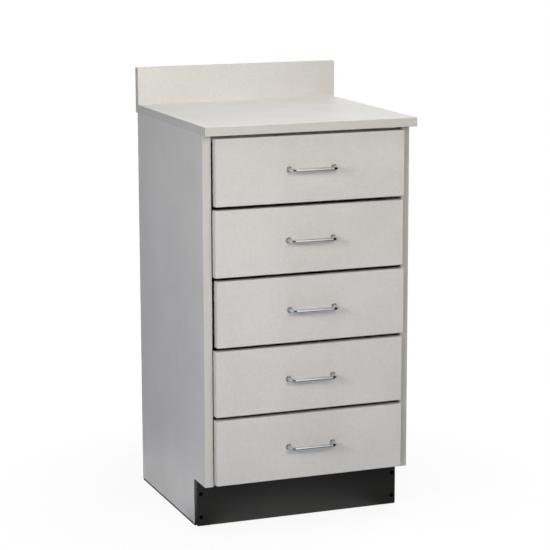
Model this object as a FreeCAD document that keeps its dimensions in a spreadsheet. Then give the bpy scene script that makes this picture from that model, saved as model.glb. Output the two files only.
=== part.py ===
import FreeCAD, Part
import Sketcher
import os
from FreeCAD import Placement, Rotation, Vector

# Clinic base cabinet in millimetres: a laminated board carcass with a toe recess, a worktop with
# a backsplash, and five drawers on telescopic slides, each with a wire pull.
# Frame: +Z up, the drawer fronts face -Y, and the origin is on the floor under the middle of the
# overall width and depth, pulls included. Drawer 1 is the top one.

DRAWERS = 5

# Every driving size: name in the sheet, millimetres, what it is
SIZES = (
    # Carcass
    ("carcass_w", 470.0, "outer width over the two side panels"),
    ("carcass_d", 450.0, "side panel depth, front edge to back edge"),
    ("worktop_h", 883.0, "floor to the worktop surface"),
    ("side_t", 19.0, "side panel thickness"),
    ("floor_t", 19.0, "thickness of the carcass bottom panel"),
    ("floor_set", 8.0, "bottom panel behind the side panels' front edges"),
    ("rail_t", 19.0, "top rail thickness"),
    ("rail_d", 80.0, "top rail width, front to back"),
    ("rail_set", 28.0, "front top rail behind the side panels' front edges"),
    ("back_t", 6.0, "back panel thickness"),
    ("back_inset", 12.0, "back edge of the side panels to the back panel"),
    ("back_groove", 6.0, "depth of the grooves that hold the back panel"),
    ("slip", 0.15, "slip clearance of a thin panel in its groove"),
    ("slack", 0.05, "radial clearance of screws and dowels in their holes"),
    # Toe recess and kick plate
    ("toe_h", 106.0, "floor to the underside of the bottom panel"),
    ("toe_d", 76.0, "depth of the notch in the side panels"),
    ("kick_t", 19.0, "kick plate thickness"),
    ("kick_foot", 3.0, "floor to the kick plate"),
    ("kick_head", 1.0, "gap over the kick plate"),
    ("kick_end", 0.6, "how far the kick plate stops short of each side"),
    ("kick_round", 1.0, "rounding of the kick plate's front corners"),
    ("kick_screw_low", 23.0, "floor to the lower kick plate screws"),
    ("kick_screw_high", 75.0, "floor to the upper kick plate screws"),
    ("kick_screw_r", 2.2, "radius of a kick plate screw"),
    ("kick_screw_in", 16.0, "length of a kick plate screw in the side panel"),
    ("kick_head_r", 4.5, "head radius of a kick plate screw"),
    ("kick_head_h", 2.6, "head height of a kick plate screw"),
    # Floor strips, nailed along the foot of each side panel
    ("strip_h", 5.0, "height of the strips, floor to side panel"),
    ("strip_in", 0.8, "strip in from the side panel's faces and back edge"),
    ("nail_r", 1.25, "strip nail radius"),
    ("nail_len", 15.0, "length of a strip nail in the panel"),
    ("nail_set", 25.0, "outer nails in from the ends of the panel's foot"),
    # Worktop and backsplash
    ("worktop_t", 19.0, "worktop thickness"),
    ("over_front", 32.0, "worktop past the side panels' front edges"),
    ("over_side", 4.0, "worktop past each side panel"),
    ("arris", 0.8, "bevel along the worktop and backsplash edges"),
    ("splash_t", 19.0, "backsplash thickness"),
    ("splash_h", 102.0, "backsplash height from the worktop's underside"),
    # Dowels between the boards
    ("dowel_r", 4.0, "dowel radius"),
    ("dowel_len", 30.0, "dowel length"),
    ("dowel_in", 11.0, "length of a dowel in the side panel"),
    ("dowel_end", 1.0, "hole beyond each end of a dowel"),
    ("dowel_set", 40.0, "outer dowels in from the bottom panel's front and back edges"),
    ("rail_dowel_set", 20.0, "dowels in from the rails' edges"),
    # Countersunk board screws of the worktop and the backsplash
    ("board_screw_r", 2.1, "shank radius"),
    ("board_screw_in", 15.0, "length in the worktop"),
    ("board_head_r", 4.0, "head radius"),
    ("board_head_h", 2.6, "head height"),
    ("rail_screw_set", 60.0, "worktop screws in from the side panels"),
    ("splash_screw_set", 60.0, "backsplash screws in from the worktop's ends"),
    # Drawer fronts
    ("front_t", 19.0, "drawer front thickness"),
    ("front_air", 2.0, "air between a drawer front and the side panels' edges"),
    ("front_reveal", 7.6, "gap over each drawer front"),
    ("front_rise", 6.5, "underside of the bottom panel to the lowest front"),
    ("front_side", 1.5, "end of a front to the line of the side panel's inner face"),
    ("front_round", 1.6, "rounding around the face of a front"),
    ("shift_1", 1.0, "sideways setting of front 1 on its box, as it was hung"),
    ("shift_2", -0.8, "sideways setting of front 2"),
    ("shift_3", 2.0, "sideways setting of front 3"),
    ("shift_4", -1.2, "sideways setting of front 4"),
    ("shift_5", -1.1, "sideways setting of front 5"),
    # Wire pulls
    ("pull_cc", 101.6, "spacing of the pull's screws"),
    ("pull_proj", 26.0, "how far a pull stands out from its front"),
    ("pull_r", 4.0, "pull rod radius"),
    ("pull_bend", 10.0, "bend radius along the middle of the rod"),
    ("foot_r", 6.5, "radius of a pull's foot on the front"),
    ("foot_len", 6.5, "length of the taper from foot to rod"),
    ("foot_rim", 1.0, "straight rim of a foot"),
    ("bore_end", 2.0, "tapped bore in each leg beyond the screw"),
    ("pull_screw_r", 2.0, "pull screw radius"),
    ("pull_screw_in", 9.0, "length of a pull screw in the leg"),
    # Drawer boxes
    ("box_rise", 20.0, "bottom edge of the front to the bottom of the box"),
    ("box_head", 6.3, "air over a drawer box, under the rails"),
    ("box_t", 12.0, "box wall thickness"),
    ("box_back_air", 14.0, "box sides to the back panel"),
    ("box_tail", 8.0, "box side past the box back"),
    ("box_floor_t", 6.0, "box bottom thickness"),
    ("box_floor_rise", 9.0, "lower edge of the walls to the box bottom"),
    ("box_groove", 5.0, "depth of the grooves and housings in the box walls"),
    # Front screws, with washer heads over adjusting holes
    ("front_screw_r", 2.0, "front screw radius"),
    ("front_screw_in", 13.0, "length of a front screw in the front"),
    ("washer_head_r", 6.5, "head radius of the front and pull screws"),
    ("washer_head_h", 2.4, "head height of the front and pull screws"),
    ("adjust_r", 4.4, "radius of the adjusting holes in the box front"),
    ("front_screw_set", 60.0, "front screws in from the box's outer faces"),
    ("front_screw_edge", 25.0, "front screws in from the box front's edges"),
    # Telescopic slides, with their depths counted from the side panel's inner face
    ("slide_space", 12.7, "side panel to drawer box"),
    ("slide_tail", 15.0, "box side past the rear end of the slide"),
    ("slide_set", 3.0, "slide behind the side panel's front edge"),
    ("slide_rise", 50.0, "bottom of the box to the slide's middle"),
    ("slide_h", 45.0, "height of the cabinet member"),
    ("slide_steel", 1.1, "steel thickness of the slide members"),
    ("slide_air", 0.3, "air between a member's flanges and the next one's"),
    ("tip_air", 1.0, "air between the tips of a member's flanges and the web they face"),
    ("head_air", 0.9, "air between the slide screw heads and the middle member"),
    # Slide screws
    ("slide_screw_r", 1.9, "slide screw radius"),
    ("slide_screw_in", 9.5, "length of a slide screw in the board"),
    ("slide_head_r", 3.6, "slide screw head radius"),
    ("slide_head_h", 1.6, "slide screw head height"),
    ("slide_screw_first", 37.0, "first slide screw behind the slide's front end"),
    ("slide_screw_last", 43.0, "last slide screw before the slide's rear end"),
    ("overrun", 5.0, "how far cutting shapes run past a face"),
)

doc = FreeCAD.newDocument("clinic_cabinet")
sheet = doc.addObject("Spreadsheet::Sheet", "Sizes")
for row, (alias, value, note) in enumerate(SIZES, start=1):
    sheet.set(f"A{row}", alias)
    sheet.set(f"B{row}", str(value))
    sheet.set(f"C{row}", note)
    sheet.setAlias(f"B{row}", alias)
doc.recompute()


def ex(text):
    """An expression in which every @name is a size of the sheet."""
    return "(" + text.replace("@", "Sizes.") + ")"


# Planes and sizes that follow from the driving ones
HALF_W = ex("@carcass_w / 2")
INNER = ex("@carcass_w / 2 - @side_t")
HALF_TOP = ex(f"{HALF_W} + @over_side")
REACH = ex("max(@over_front; @front_air + @front_t + @pull_proj)")
BACK_Y = ex(f"(@carcass_d + {REACH}) / 2")
EDGE_Y = ex(f"{BACK_Y} - @carcass_d")
UNDER_TOP = ex("@worktop_h - @worktop_t")
BACK_PANEL_Y = ex(f"{BACK_Y} - @back_inset - @back_t")
SPLASH_Y = ex(f"{BACK_Y} - @splash_t")
RAIL_Z = ex(f"{UNDER_TOP} - @rail_t")
NOTCH_Y = ex(f"{EDGE_Y} + @toe_d")
KICK_Y = ex(f"{NOTCH_Y} - @kick_t")
MID_SIDE = ex(f"{INNER} + @side_t / 2")
PITCH = ex(f"({UNDER_TOP} - @toe_h - @front_rise) / {DRAWERS}")
FRONT_H = ex(f"{PITCH} - @front_reveal")
HALF_FRONT = ex(f"{INNER} - @front_side")
BOX_Y = ex(f"{EDGE_Y} - @front_air")
FRONT_Y = ex(f"{BOX_Y} - @front_t")
HALF_BOX = ex(f"{INNER} - @slide_space")
HALF_HOUSED = ex(f"{HALF_BOX} - @box_t + @box_groove")
BOX_FRONT_BACK = ex(f"{BOX_Y} + @box_t")
BOX_H = ex(f"{PITCH} - @rail_t - @box_rise - @box_head")
BOX_LEN = ex(f"{BACK_PANEL_Y} - @box_back_air - {BOX_Y}")
BOX_BACK_Y = ex(f"{BOX_Y} + {BOX_LEN} - @box_tail - @box_t")
BOX_FLOOR_Z = ex("@box_rise + @box_floor_rise")
SLIDE_Y = ex(f"{EDGE_Y} + @slide_set")
SLIDE_LEN = ex(f"{BOX_Y} + {BOX_LEN} - @slide_tail - {SLIDE_Y}")
SLIDE_Z = ex("@box_rise + @slide_rise")
PULL_Z = ex(f"{FRONT_H} / 2")
SLIDE_SCREW_YS = (
    ex(f"{SLIDE_Y} + @slide_screw_first"),
    ex(f"{SLIDE_Y} + {SLIDE_LEN} - @slide_screw_last"),
)

# Turn that carries a round piece's own +Z to each direction
TURNS = {
    "+z": Rotation(),
    "-z": Rotation(Vector(1, 0, 0), 180),
    "+x": Rotation(Vector(0, 1, 0), 90),
    "-x": Rotation(Vector(0, 1, 0), -90),
    "+y": Rotation(Vector(1, 0, 0), -90),
    "-y": Rotation(Vector(1, 0, 0), 90),
}
OPPOSITE = {"+x": "-x", "-x": "+x", "+y": "-y", "-y": "+y", "+z": "-z", "-z": "+z"}


def drawer_z(number):
    """Height of the bottom edge of a drawer's front."""
    return ex(f"@toe_h + @front_rise + {DRAWERS - number} * {PITCH}")


def bind(obj, **expressions):
    for name, expression in expressions.items():
        obj.setExpression(name, expression)
    return obj


def place(obj, at, turn=Rotation()):
    obj.Placement = Placement(Vector(), turn)
    for axis, expression in zip("xyz", at):
        obj.setExpression(f"Placement.Base.{axis}", expression)
    return obj


def moved(at, direction, distance):
    """The point at, carried a distance along a direction."""
    point = list(at)
    index = "xyz".index(direction[1])
    point[index] = f"({at[index]} {direction[0]} {distance})"
    return tuple(point)


def block(name, at, size):
    """A board square to the axes, from its lowest corner."""
    return place(bind(doc.addObject("Part::Box", name), Length=size[0], Width=size[1], Height=size[2]), at)


def wide_block(name, half_x, y, z, depth, height):
    """A board that reaches half_x to each side of the middle."""
    return block(name, (f"-{half_x}", y, z), (f"2 * {half_x}", depth, height))


def rod(name, direction, at, radius, length):
    cylinder = bind(doc.addObject("Part::Cylinder", name), Radius=radius, Height=length)
    return place(cylinder, at, TURNS[direction])


def cone(name, direction, at, start_r, end_r, length):
    taper = bind(doc.addObject("Part::Cone", name), Radius1=start_r, Radius2=end_r, Height=length)
    return place(taper, at, TURNS[direction])


def dome(name, direction, at, radius, rise):
    """A low round head: the cap of a ball that is radius wide at the point at and rises by rise."""
    ball_r = f"(({radius} ^ 2 + {rise} ^ 2) / (2 * {rise}))"
    ball = doc.addObject("Part::Sphere", name)
    bind(ball, Radius=ball_r, Angle1=f"asin(({ball_r} - {rise}) / {ball_r})")
    return place(ball, moved(at, OPPOSITE[direction], f"({ball_r} - {rise})"), TURNS[direction])


def group(name, members):
    compound = doc.addObject("Part::Compound", name)
    compound.Links = members
    return compound


def fused(name, members):
    union = doc.addObject("Part::MultiFuse", name)
    union.Shapes = members
    union.Refine = True
    return union


def cut(name, base, tools):
    result = doc.addObject("Part::Cut", name)
    result.Base = base
    result.Tool = fused(f"{name}_cutters", tools) if len(tools) > 1 else tools[0]
    result.Refine = True
    return result


def mirrored(name, source):
    """The same piece on the other side of the cabinet."""
    twin = doc.addObject("Part::Mirroring", name)
    twin.Source = source
    twin.Normal = Vector(1, 0, 0)
    return twin


def both_sides(name, left):
    return group(f"{name}_pair", [left, mirrored(f"{name}_right", left)])


def copy_at(name, source, at):
    return place(group(name, [source]), at)


def origin_plane(body, role):
    for feature in body.Origin.OriginFeatures:
        if feature.Role == role:
            return feature
    raise LookupError(role)


def new_sketch(body, name, role):
    sketch = body.newObject("Sketcher::SketchObject", name)
    sketch.AttachmentSupport = [(origin_plane(body, role), "")]
    sketch.MapMode = "FlatFace"
    return sketch


def pin_point(sketch, curve, end, x, y):
    """Hold one end of a sketch curve at a place given by two expressions."""
    for kind, axis_line, expression in (("DistanceX", -2, x), ("DistanceY", -1, y)):
        if expression == "0":
            sketch.addConstraint(Sketcher.Constraint("PointOnObject", curve, end, axis_line))
            continue
        start = sketch.evalExpression(expression)
        index = sketch.addConstraint(Sketcher.Constraint(kind, -1, 1, curve, end, float(start)))
        sketch.setExpression(f"Constraints[{index}]", expression)


def flat_point(owner, corner):
    return Vector(*(float(owner.evalExpression(part)) for part in corner), 0)


def padded_outline(name, role, corners, depth, at, reverse=False):
    """A body padded from a sketched outline of straight sides, one corner after another."""
    body = doc.addObject("PartDesign::Body", name)
    sketch = new_sketch(body, f"{name}_outline", role)
    points = [flat_point(sketch, corner) for corner in corners]
    count = len(corners)
    for index in range(count):
        sketch.addGeometry(Part.LineSegment(points[index], points[(index + 1) % count]))
    for index in range(count):
        sketch.addConstraint(Sketcher.Constraint("Coincident", index, 2, (index + 1) % count, 1))
    for index, corner in enumerate(corners):
        pin_point(sketch, index, 1, *corner)
    pad = body.newObject("PartDesign::Pad", f"{name}_pad")
    pad.Profile = sketch
    pad.Reversed = reverse
    pad.setExpression("Length", depth)
    return place(body, at)


def eased_board(name, at, size, picks, feature, amount):
    """A board with the edges that picks() chooses rounded or bevelled."""
    body = doc.addObject("PartDesign::Body", name)
    board = body.newObject("PartDesign::AdditiveBox", f"{name}_board")
    bind(board, Length=size[0], Width=size[1], Height=size[2])
    doc.recompute()
    box = board.Shape.BoundBox
    picked = []
    for number, edge in enumerate(board.Shape.Edges, start=1):
        if picks(edge.BoundBox, box):
            picked.append(f"Edge{number}")
    easing = body.newObject(f"PartDesign::{feature}", f"{name}_eased")
    easing.Base = (board, picked)
    easing.setExpression("Radius" if feature == "Fillet" else "Size", amount)
    return place(body, at)


def around_front(edge, box):
    """True for the edges around the face that looks along -Y."""
    return edge.YMax < box.Center.y


def shows_on_top(edge, box):
    """True for the edges around the front face and along the top of the ends."""
    along_end = edge.ZMin > box.Center.z and edge.XLength < box.XLength / 2
    return around_front(edge, box) or along_end


def top_and_upright(edge, box):
    """True for the edges around the top and for the upright ones."""
    return edge.ZMin > box.Center.z or edge.ZLength > box.ZLength / 2


def front_upright(edge, box):
    return around_front(edge, box) and edge.ZLength > box.ZLength / 2


# Screws and their holes

def dome_screw(name, direction, seat, radius, length, head_r, head_h):
    """A screw whose low round head stands on its seat and whose shank runs along direction."""
    return fused(name, [
        rod(f"{name}_shank", direction, seat, radius, length),
        dome(f"{name}_head", OPPOSITE[direction], seat, head_r, head_h),
    ])


def hole(name, direction, at, radius, depth):
    """A round hole from just outside a face to a depth, clear of its screw by the slack."""
    start = moved(at, OPPOSITE[direction], ex("@overrun"))
    return rod(name, direction, start, ex(f"{radius} + @slack"), ex(f"{depth} + @slack + @overrun"))


def board_screw(name, direction, at, length):
    """A countersunk screw, its head's flat top at the point at."""
    return fused(name, [
        rod(f"{name}_shank", direction, at, ex("@board_screw_r"), length),
        cone(f"{name}_head", direction, at, ex("@board_head_r"), ex("@board_screw_r"), ex("@board_head_h")),
    ])


def board_screw_hole(name, direction, at, length):
    shank = ex("@board_screw_r + @slack")
    return [
        hole(f"{name}_pilot", direction, at, ex("@board_screw_r"), length),
        cone(f"{name}_sink", direction, at, ex("@board_head_r + @slack"), shank, ex("@board_head_h")),
    ]


nodes = {}


def keep(name, obj):
    """Name a finished sub-part, and so its file."""
    obj.Label = name
    nodes[name] = obj


# Where the fasteners go

FLOOR_DOWEL_Z = ex("@toe_h + @floor_t / 2")
RAIL_DOWEL_Z = ex(f"{UNDER_TOP} - @rail_t / 2")
FLOOR_Y = ex(f"{EDGE_Y} + @floor_set")
FRONT_RAIL_Y = ex(f"{EDGE_Y} + @rail_set")
BACK_RAIL_Y = ex(f"{BACK_PANEL_Y} - @rail_d")
FLOOR_DOWELS = [
    (ex(f"{FLOOR_Y} + @dowel_set"), FLOOR_DOWEL_Z),
    (ex(f"({FLOOR_Y} + {BACK_PANEL_Y}) / 2"), FLOOR_DOWEL_Z),
    (ex(f"{BACK_PANEL_Y} - @dowel_set"), FLOOR_DOWEL_Z),
]


def rail_dowels(rail_y):
    return [
        (ex(f"{rail_y} + @rail_dowel_set"), RAIL_DOWEL_Z),
        (ex(f"{rail_y} + @rail_d - @rail_dowel_set"), RAIL_DOWEL_Z),
    ]


def rail_screws(rail_y):
    """Seats of a rail's worktop screws, on its underside: two near the ends and one between."""
    y = ex(f"{rail_y} + @rail_d / 2")
    end = ex(f"{INNER} - @rail_screw_set")
    return [(f"-{end}", y, RAIL_Z), ("0", y, RAIL_Z), (end, y, RAIL_Z)]


def splash_screws():
    """Seats of the backsplash screws, on its back, at the height of the worktop's middle."""
    z = ex(f"{UNDER_TOP} + @worktop_t / 2")
    end = ex(f"{HALF_TOP} - @splash_screw_set")
    return [(f"-{end}", BACK_Y, z), ("0", BACK_Y, z), (end, BACK_Y, z)]


RAIL_SCREW_LEN = ex("@rail_t + @board_screw_in")
SPLASH_SCREW_LEN = ex("@splash_t + @board_screw_in")
ALL_DOWELS = FLOOR_DOWELS + rail_dowels(FRONT_RAIL_Y) + rail_dowels(BACK_RAIL_Y)
ALL_RAIL_SCREWS = rail_screws(FRONT_RAIL_Y) + rail_screws(BACK_RAIL_Y)
KICK_SCREW_ZS = (ex("@kick_screw_low"), ex("@kick_screw_high"))
NAIL_YS = (ex(f"{NOTCH_Y} + @nail_set"), ex(f"({NOTCH_Y} + {BACK_Y}) / 2"), ex(f"{BACK_Y} - @nail_set"))


def dowel_holes(name, places, depth_in_board, direction):
    """Dowel holes in a board's left end, or in the left side panel's inner face."""
    return [
        hole(f"{name}_{index}", direction, (f"-{INNER}", y, z), ex("@dowel_r"), depth_in_board)
        for index, (y, z) in enumerate(places)
    ]


def with_both_ends_drilled(name, board, places):
    """A board drilled for dowels in its left end and in its right end."""
    depth = ex("@dowel_len - @dowel_in + @dowel_end")
    left = dowel_holes(f"{name}_dowel", places, depth, "+x")
    right = [mirrored(f"{name}_dowel_right_{index}", tool) for index, tool in enumerate(left)]
    return cut(f"{name}_drilled", board, left + right)


# Carcass

def side_panels():
    outline = [
        ("0", ex("@toe_h")),
        ("0", UNDER_TOP),
        (ex("@carcass_d"), UNDER_TOP),
        (ex("@carcass_d"), ex("@strip_h")),
        (ex("@toe_d"), ex("@strip_h")),
        (ex("@toe_d"), ex("@toe_h")),
    ]
    board = padded_outline("side_board", "YZ_Plane", outline, ex("@side_t"), (f"-{HALF_W}", EDGE_Y, "0"))
    groove = block(
        "side_groove",
        (f"-{ex(f'{INNER} + @back_groove')}", ex(f"{BACK_PANEL_Y} - @slip"), ex("@toe_h - @slip")),
        (ex("@back_groove + @overrun"), ex("@back_t + 2 * @slip"), ex(f"{UNDER_TOP} - @toe_h + @overrun")),
    )
    tools = [groove]
    tools += dowel_holes("side_dowel", ALL_DOWELS, ex("@dowel_in + @dowel_end"), "-x")
    for index, z in enumerate(KICK_SCREW_ZS):
        at = (f"-{MID_SIDE}", NOTCH_Y, z)
        tools.append(hole(f"side_kick_{index}", "+y", at, ex("@kick_screw_r"), ex("@kick_screw_in")))
    for index, y in enumerate(NAIL_YS):
        at = (f"-{MID_SIDE}", y, ex("@strip_h"))
        tools.append(hole(f"side_nail_{index}", "+z", at, ex("@nail_r"), ex("@nail_len")))
    for number in range(1, DRAWERS + 1):
        for index, y in enumerate(SLIDE_SCREW_YS):
            at = (f"-{INNER}", y, ex(f"{drawer_z(number)} + {SLIDE_Z}"))
            name = f"side_slide_{number}_{index}"
            tools.append(hole(name, "-x", at, ex("@slide_screw_r"), ex("@slide_screw_in")))
    left = cut("side_left_cut", board, tools)
    keep("side_panel_left", left)
    keep("side_panel_right", mirrored("side_right", left))


def floor_and_rails():
    depth = ex(f"{BACK_PANEL_Y} - {FLOOR_Y}")
    floor = wide_block("floor_board", INNER, FLOOR_Y, ex("@toe_h"), depth, ex("@floor_t"))
    keep("bottom_panel", with_both_ends_drilled("floor", floor, FLOOR_DOWELS))
    for name, y in (("front", FRONT_RAIL_Y), ("back", BACK_RAIL_Y)):
        rail = wide_block(f"rail_{name}_board", INNER, y, RAIL_Z, ex("@rail_d"), ex("@rail_t"))
        rail = with_both_ends_drilled(f"rail_{name}", rail, rail_dowels(y))
        screw_holes = []
        for index, at in enumerate(rail_screws(y)):
            screw_holes += board_screw_hole(f"rail_{name}_screw_{index}", "+z", at, RAIL_SCREW_LEN)
        keep(f"top_rail_{name}", cut(f"rail_{name}_cut", rail, screw_holes))


def back_panel():
    half = ex(f"{INNER} + @back_groove - @slip")
    height = ex(f"{UNDER_TOP} - @toe_h")
    keep("back_panel", wide_block("back_board", half, BACK_PANEL_Y, ex("@toe_h"), ex("@back_t"), height))


def dowels():
    left = []
    for index, (y, z) in enumerate(ALL_DOWELS):
        at = (f"-{ex(f'{INNER} + @dowel_in')}", y, z)
        left.append(rod(f"dowel_{index}", "+x", at, ex("@dowel_r"), ex("@dowel_len")))
    right = [mirrored(f"dowel_right_{index}", dowel) for index, dowel in enumerate(left)]
    keep("carcass_dowels", group("dowels", left + right))


def worktop_and_backsplash():
    top_at = (f"-{HALF_TOP}", ex(f"{EDGE_Y} - @over_front"), UNDER_TOP)
    top_size = (ex(f"2 * {HALF_TOP}"), ex(f"{SPLASH_Y} - {EDGE_Y} + @over_front"), ex("@worktop_t"))
    top = eased_board("worktop_board", top_at, top_size, shows_on_top, "Chamfer", ex("@arris"))
    splash_at = (f"-{HALF_TOP}", SPLASH_Y, UNDER_TOP)
    splash_size = (ex(f"2 * {HALF_TOP}"), ex("@splash_t"), ex("@splash_h"))
    splash = eased_board("splash_board", splash_at, splash_size, top_and_upright, "Chamfer", ex("@arris"))
    top_tools = []
    splash_tools = []
    screws = []
    for index, at in enumerate(ALL_RAIL_SCREWS):
        name = f"worktop_screw_{index}"
        screws.append(board_screw(name, "+z", at, RAIL_SCREW_LEN))
        top_tools.append(hole(f"{name}_hole", "+z", at, ex("@board_screw_r"), RAIL_SCREW_LEN))
    for index, at in enumerate(splash_screws()):
        name = f"splash_screw_{index}"
        screws.append(board_screw(name, "-y", at, SPLASH_SCREW_LEN))
        top_tools.append(hole(f"{name}_end", "-y", at, ex("@board_screw_r"), SPLASH_SCREW_LEN))
        splash_tools += board_screw_hole(name, "-y", at, SPLASH_SCREW_LEN)
    keep("worktop", cut("worktop_cut", top, top_tools))
    keep("backsplash", cut("splash_cut", splash, splash_tools))
    keep("worktop_screws", group("board_screws", screws))


def kick_plate():
    half = ex(f"{HALF_W} - @kick_end")
    size = (ex(f"2 * {half}"), ex("@kick_t"), ex("@toe_h - @kick_head - @kick_foot"))
    at = (f"-{half}", KICK_Y, ex("@kick_foot"))
    board = eased_board("kick_board", at, size, front_upright, "Fillet", ex("@kick_round"))
    holes = []
    screws = []
    length = ex("@kick_t + @kick_screw_in")
    for side, x in (("left", f"-{MID_SIDE}"), ("right", MID_SIDE)):
        for index, z in enumerate(KICK_SCREW_ZS):
            seat = (x, KICK_Y, z)
            name = f"kick_screw_{side}_{index}"
            sizes = (ex("@kick_screw_r"), length, ex("@kick_head_r"), ex("@kick_head_h"))
            screws.append(dome_screw(name, "+y", seat, *sizes))
            holes.append(hole(f"{name}_hole", "+y", seat, ex("@kick_screw_r"), length))
    keep("kick_plate", cut("kick_cut", board, holes))
    keep("kick_plate_screws", group("kick_screws", screws))


def floor_strips():
    at = (f"-{ex(f'{HALF_W} - @strip_in')}", NOTCH_Y, "0")
    size = (ex("@side_t - 2 * @strip_in"), ex(f"{BACK_Y} - {NOTCH_Y} - @strip_in"), ex("@strip_h"))
    pieces = [block("strip_bar", at, size)]
    for index, y in enumerate(NAIL_YS):
        foot = (f"-{MID_SIDE}", y, ex("@strip_h"))
        pieces.append(rod(f"strip_nail_{index}", "+z", foot, ex("@nail_r"), ex("@nail_len")))
    keep("floor_strips", both_sides("strip", fused("strip", pieces)))


# Telescopic slides, drawn in place for a drawer whose front's bottom edge is at the floor

def channel(name, back, inside, tip, half_h):
    """A steel channel: web from back to inside, flanges out to tip, all counted from the panel."""
    low = f"(-{half_h})"
    corners = [
        (back, low),
        (tip, low),
        (tip, ex(f"{low} + @slide_steel")),
        (inside, ex(f"{low} + @slide_steel")),
        (inside, ex(f"{half_h} - @slide_steel")),
        (tip, ex(f"{half_h} - @slide_steel")),
        (tip, half_h),
        (back, half_h),
    ]
    at = (f"-{INNER}", SLIDE_Y, SLIDE_Z)
    return padded_outline(name, "XZ_Plane", corners, SLIDE_LEN, at, reverse=True)


def web_holes(name, channel_body):
    """The channel with a clearance hole through its web for each slide screw."""
    tools = []
    for index, y in enumerate(SLIDE_SCREW_YS):
        at = (f"-{INNER}", y, SLIDE_Z)
        tools.append(hole(f"{name}_hole_{index}", "+x", at, ex("@slide_screw_r"), ex("@slide_space")))
    return cut(name, channel_body, tools)


def slide_members():
    """The left cabinet, middle and drawer members of one slide."""
    steel = ex("@slide_steel")
    half = ex("@slide_h / 2")
    middle_half = ex(f"{half} - {steel} - @slide_air")
    drawer_half = ex(f"{middle_half} - {steel} - @slide_air")
    drawer_web = ex(f"@slide_space - {steel}")
    tip = ex(f"{drawer_web} - @tip_air")
    middle_web = ex(f"{steel} + @slide_head_h + @head_air")
    middle_inside = ex(f"{middle_web} + {steel}")
    outer = channel("outer_channel", "0", steel, tip, half)
    middle = channel("middle_channel", middle_web, middle_inside, tip, middle_half)
    drawer_tip = ex(f"{middle_inside} + @tip_air")
    inner = channel("drawer_channel", ex("@slide_space"), drawer_web, drawer_tip, drawer_half)
    return web_holes("outer_member", outer), middle, web_holes("drawer_member", inner)


def slide_screw_set(name, x, direction):
    """A left member's two screws, their heads seated at x."""
    length = ex("@slide_steel + @slide_screw_in")
    sizes = (ex("@slide_screw_r"), length, ex("@slide_head_r"), ex("@slide_head_h"))
    return [
        dome_screw(f"{name}_{index}", direction, (x, y, SLIDE_Z), *sizes)
        for index, y in enumerate(SLIDE_SCREW_YS)
    ]


def fixed_slide_parts(outer):
    """The cabinet members of all the slides, and their screws."""
    pair = both_sides("outer", outer)
    seat = ex(f"-{INNER} + @slide_steel")
    left_screws = group("outer_screw_set", slide_screw_set("outer_screw", seat, "-x"))
    screws = both_sides("outer_screws", left_screws)
    members = []
    fixings = []
    for number in range(1, DRAWERS + 1):
        at = ("0", "0", drawer_z(number))
        members.append(copy_at(f"outer_pair_{number}", pair, at))
        fixings.append(copy_at(f"outer_screws_{number}", screws, at))
    keep("slide_cabinet_members", group("outer_members", members))
    keep("slide_cabinet_screws", group("outer_member_screws", fixings))


# Drawers, drawn in place for a drawer whose front's bottom edge is at the floor

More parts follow.
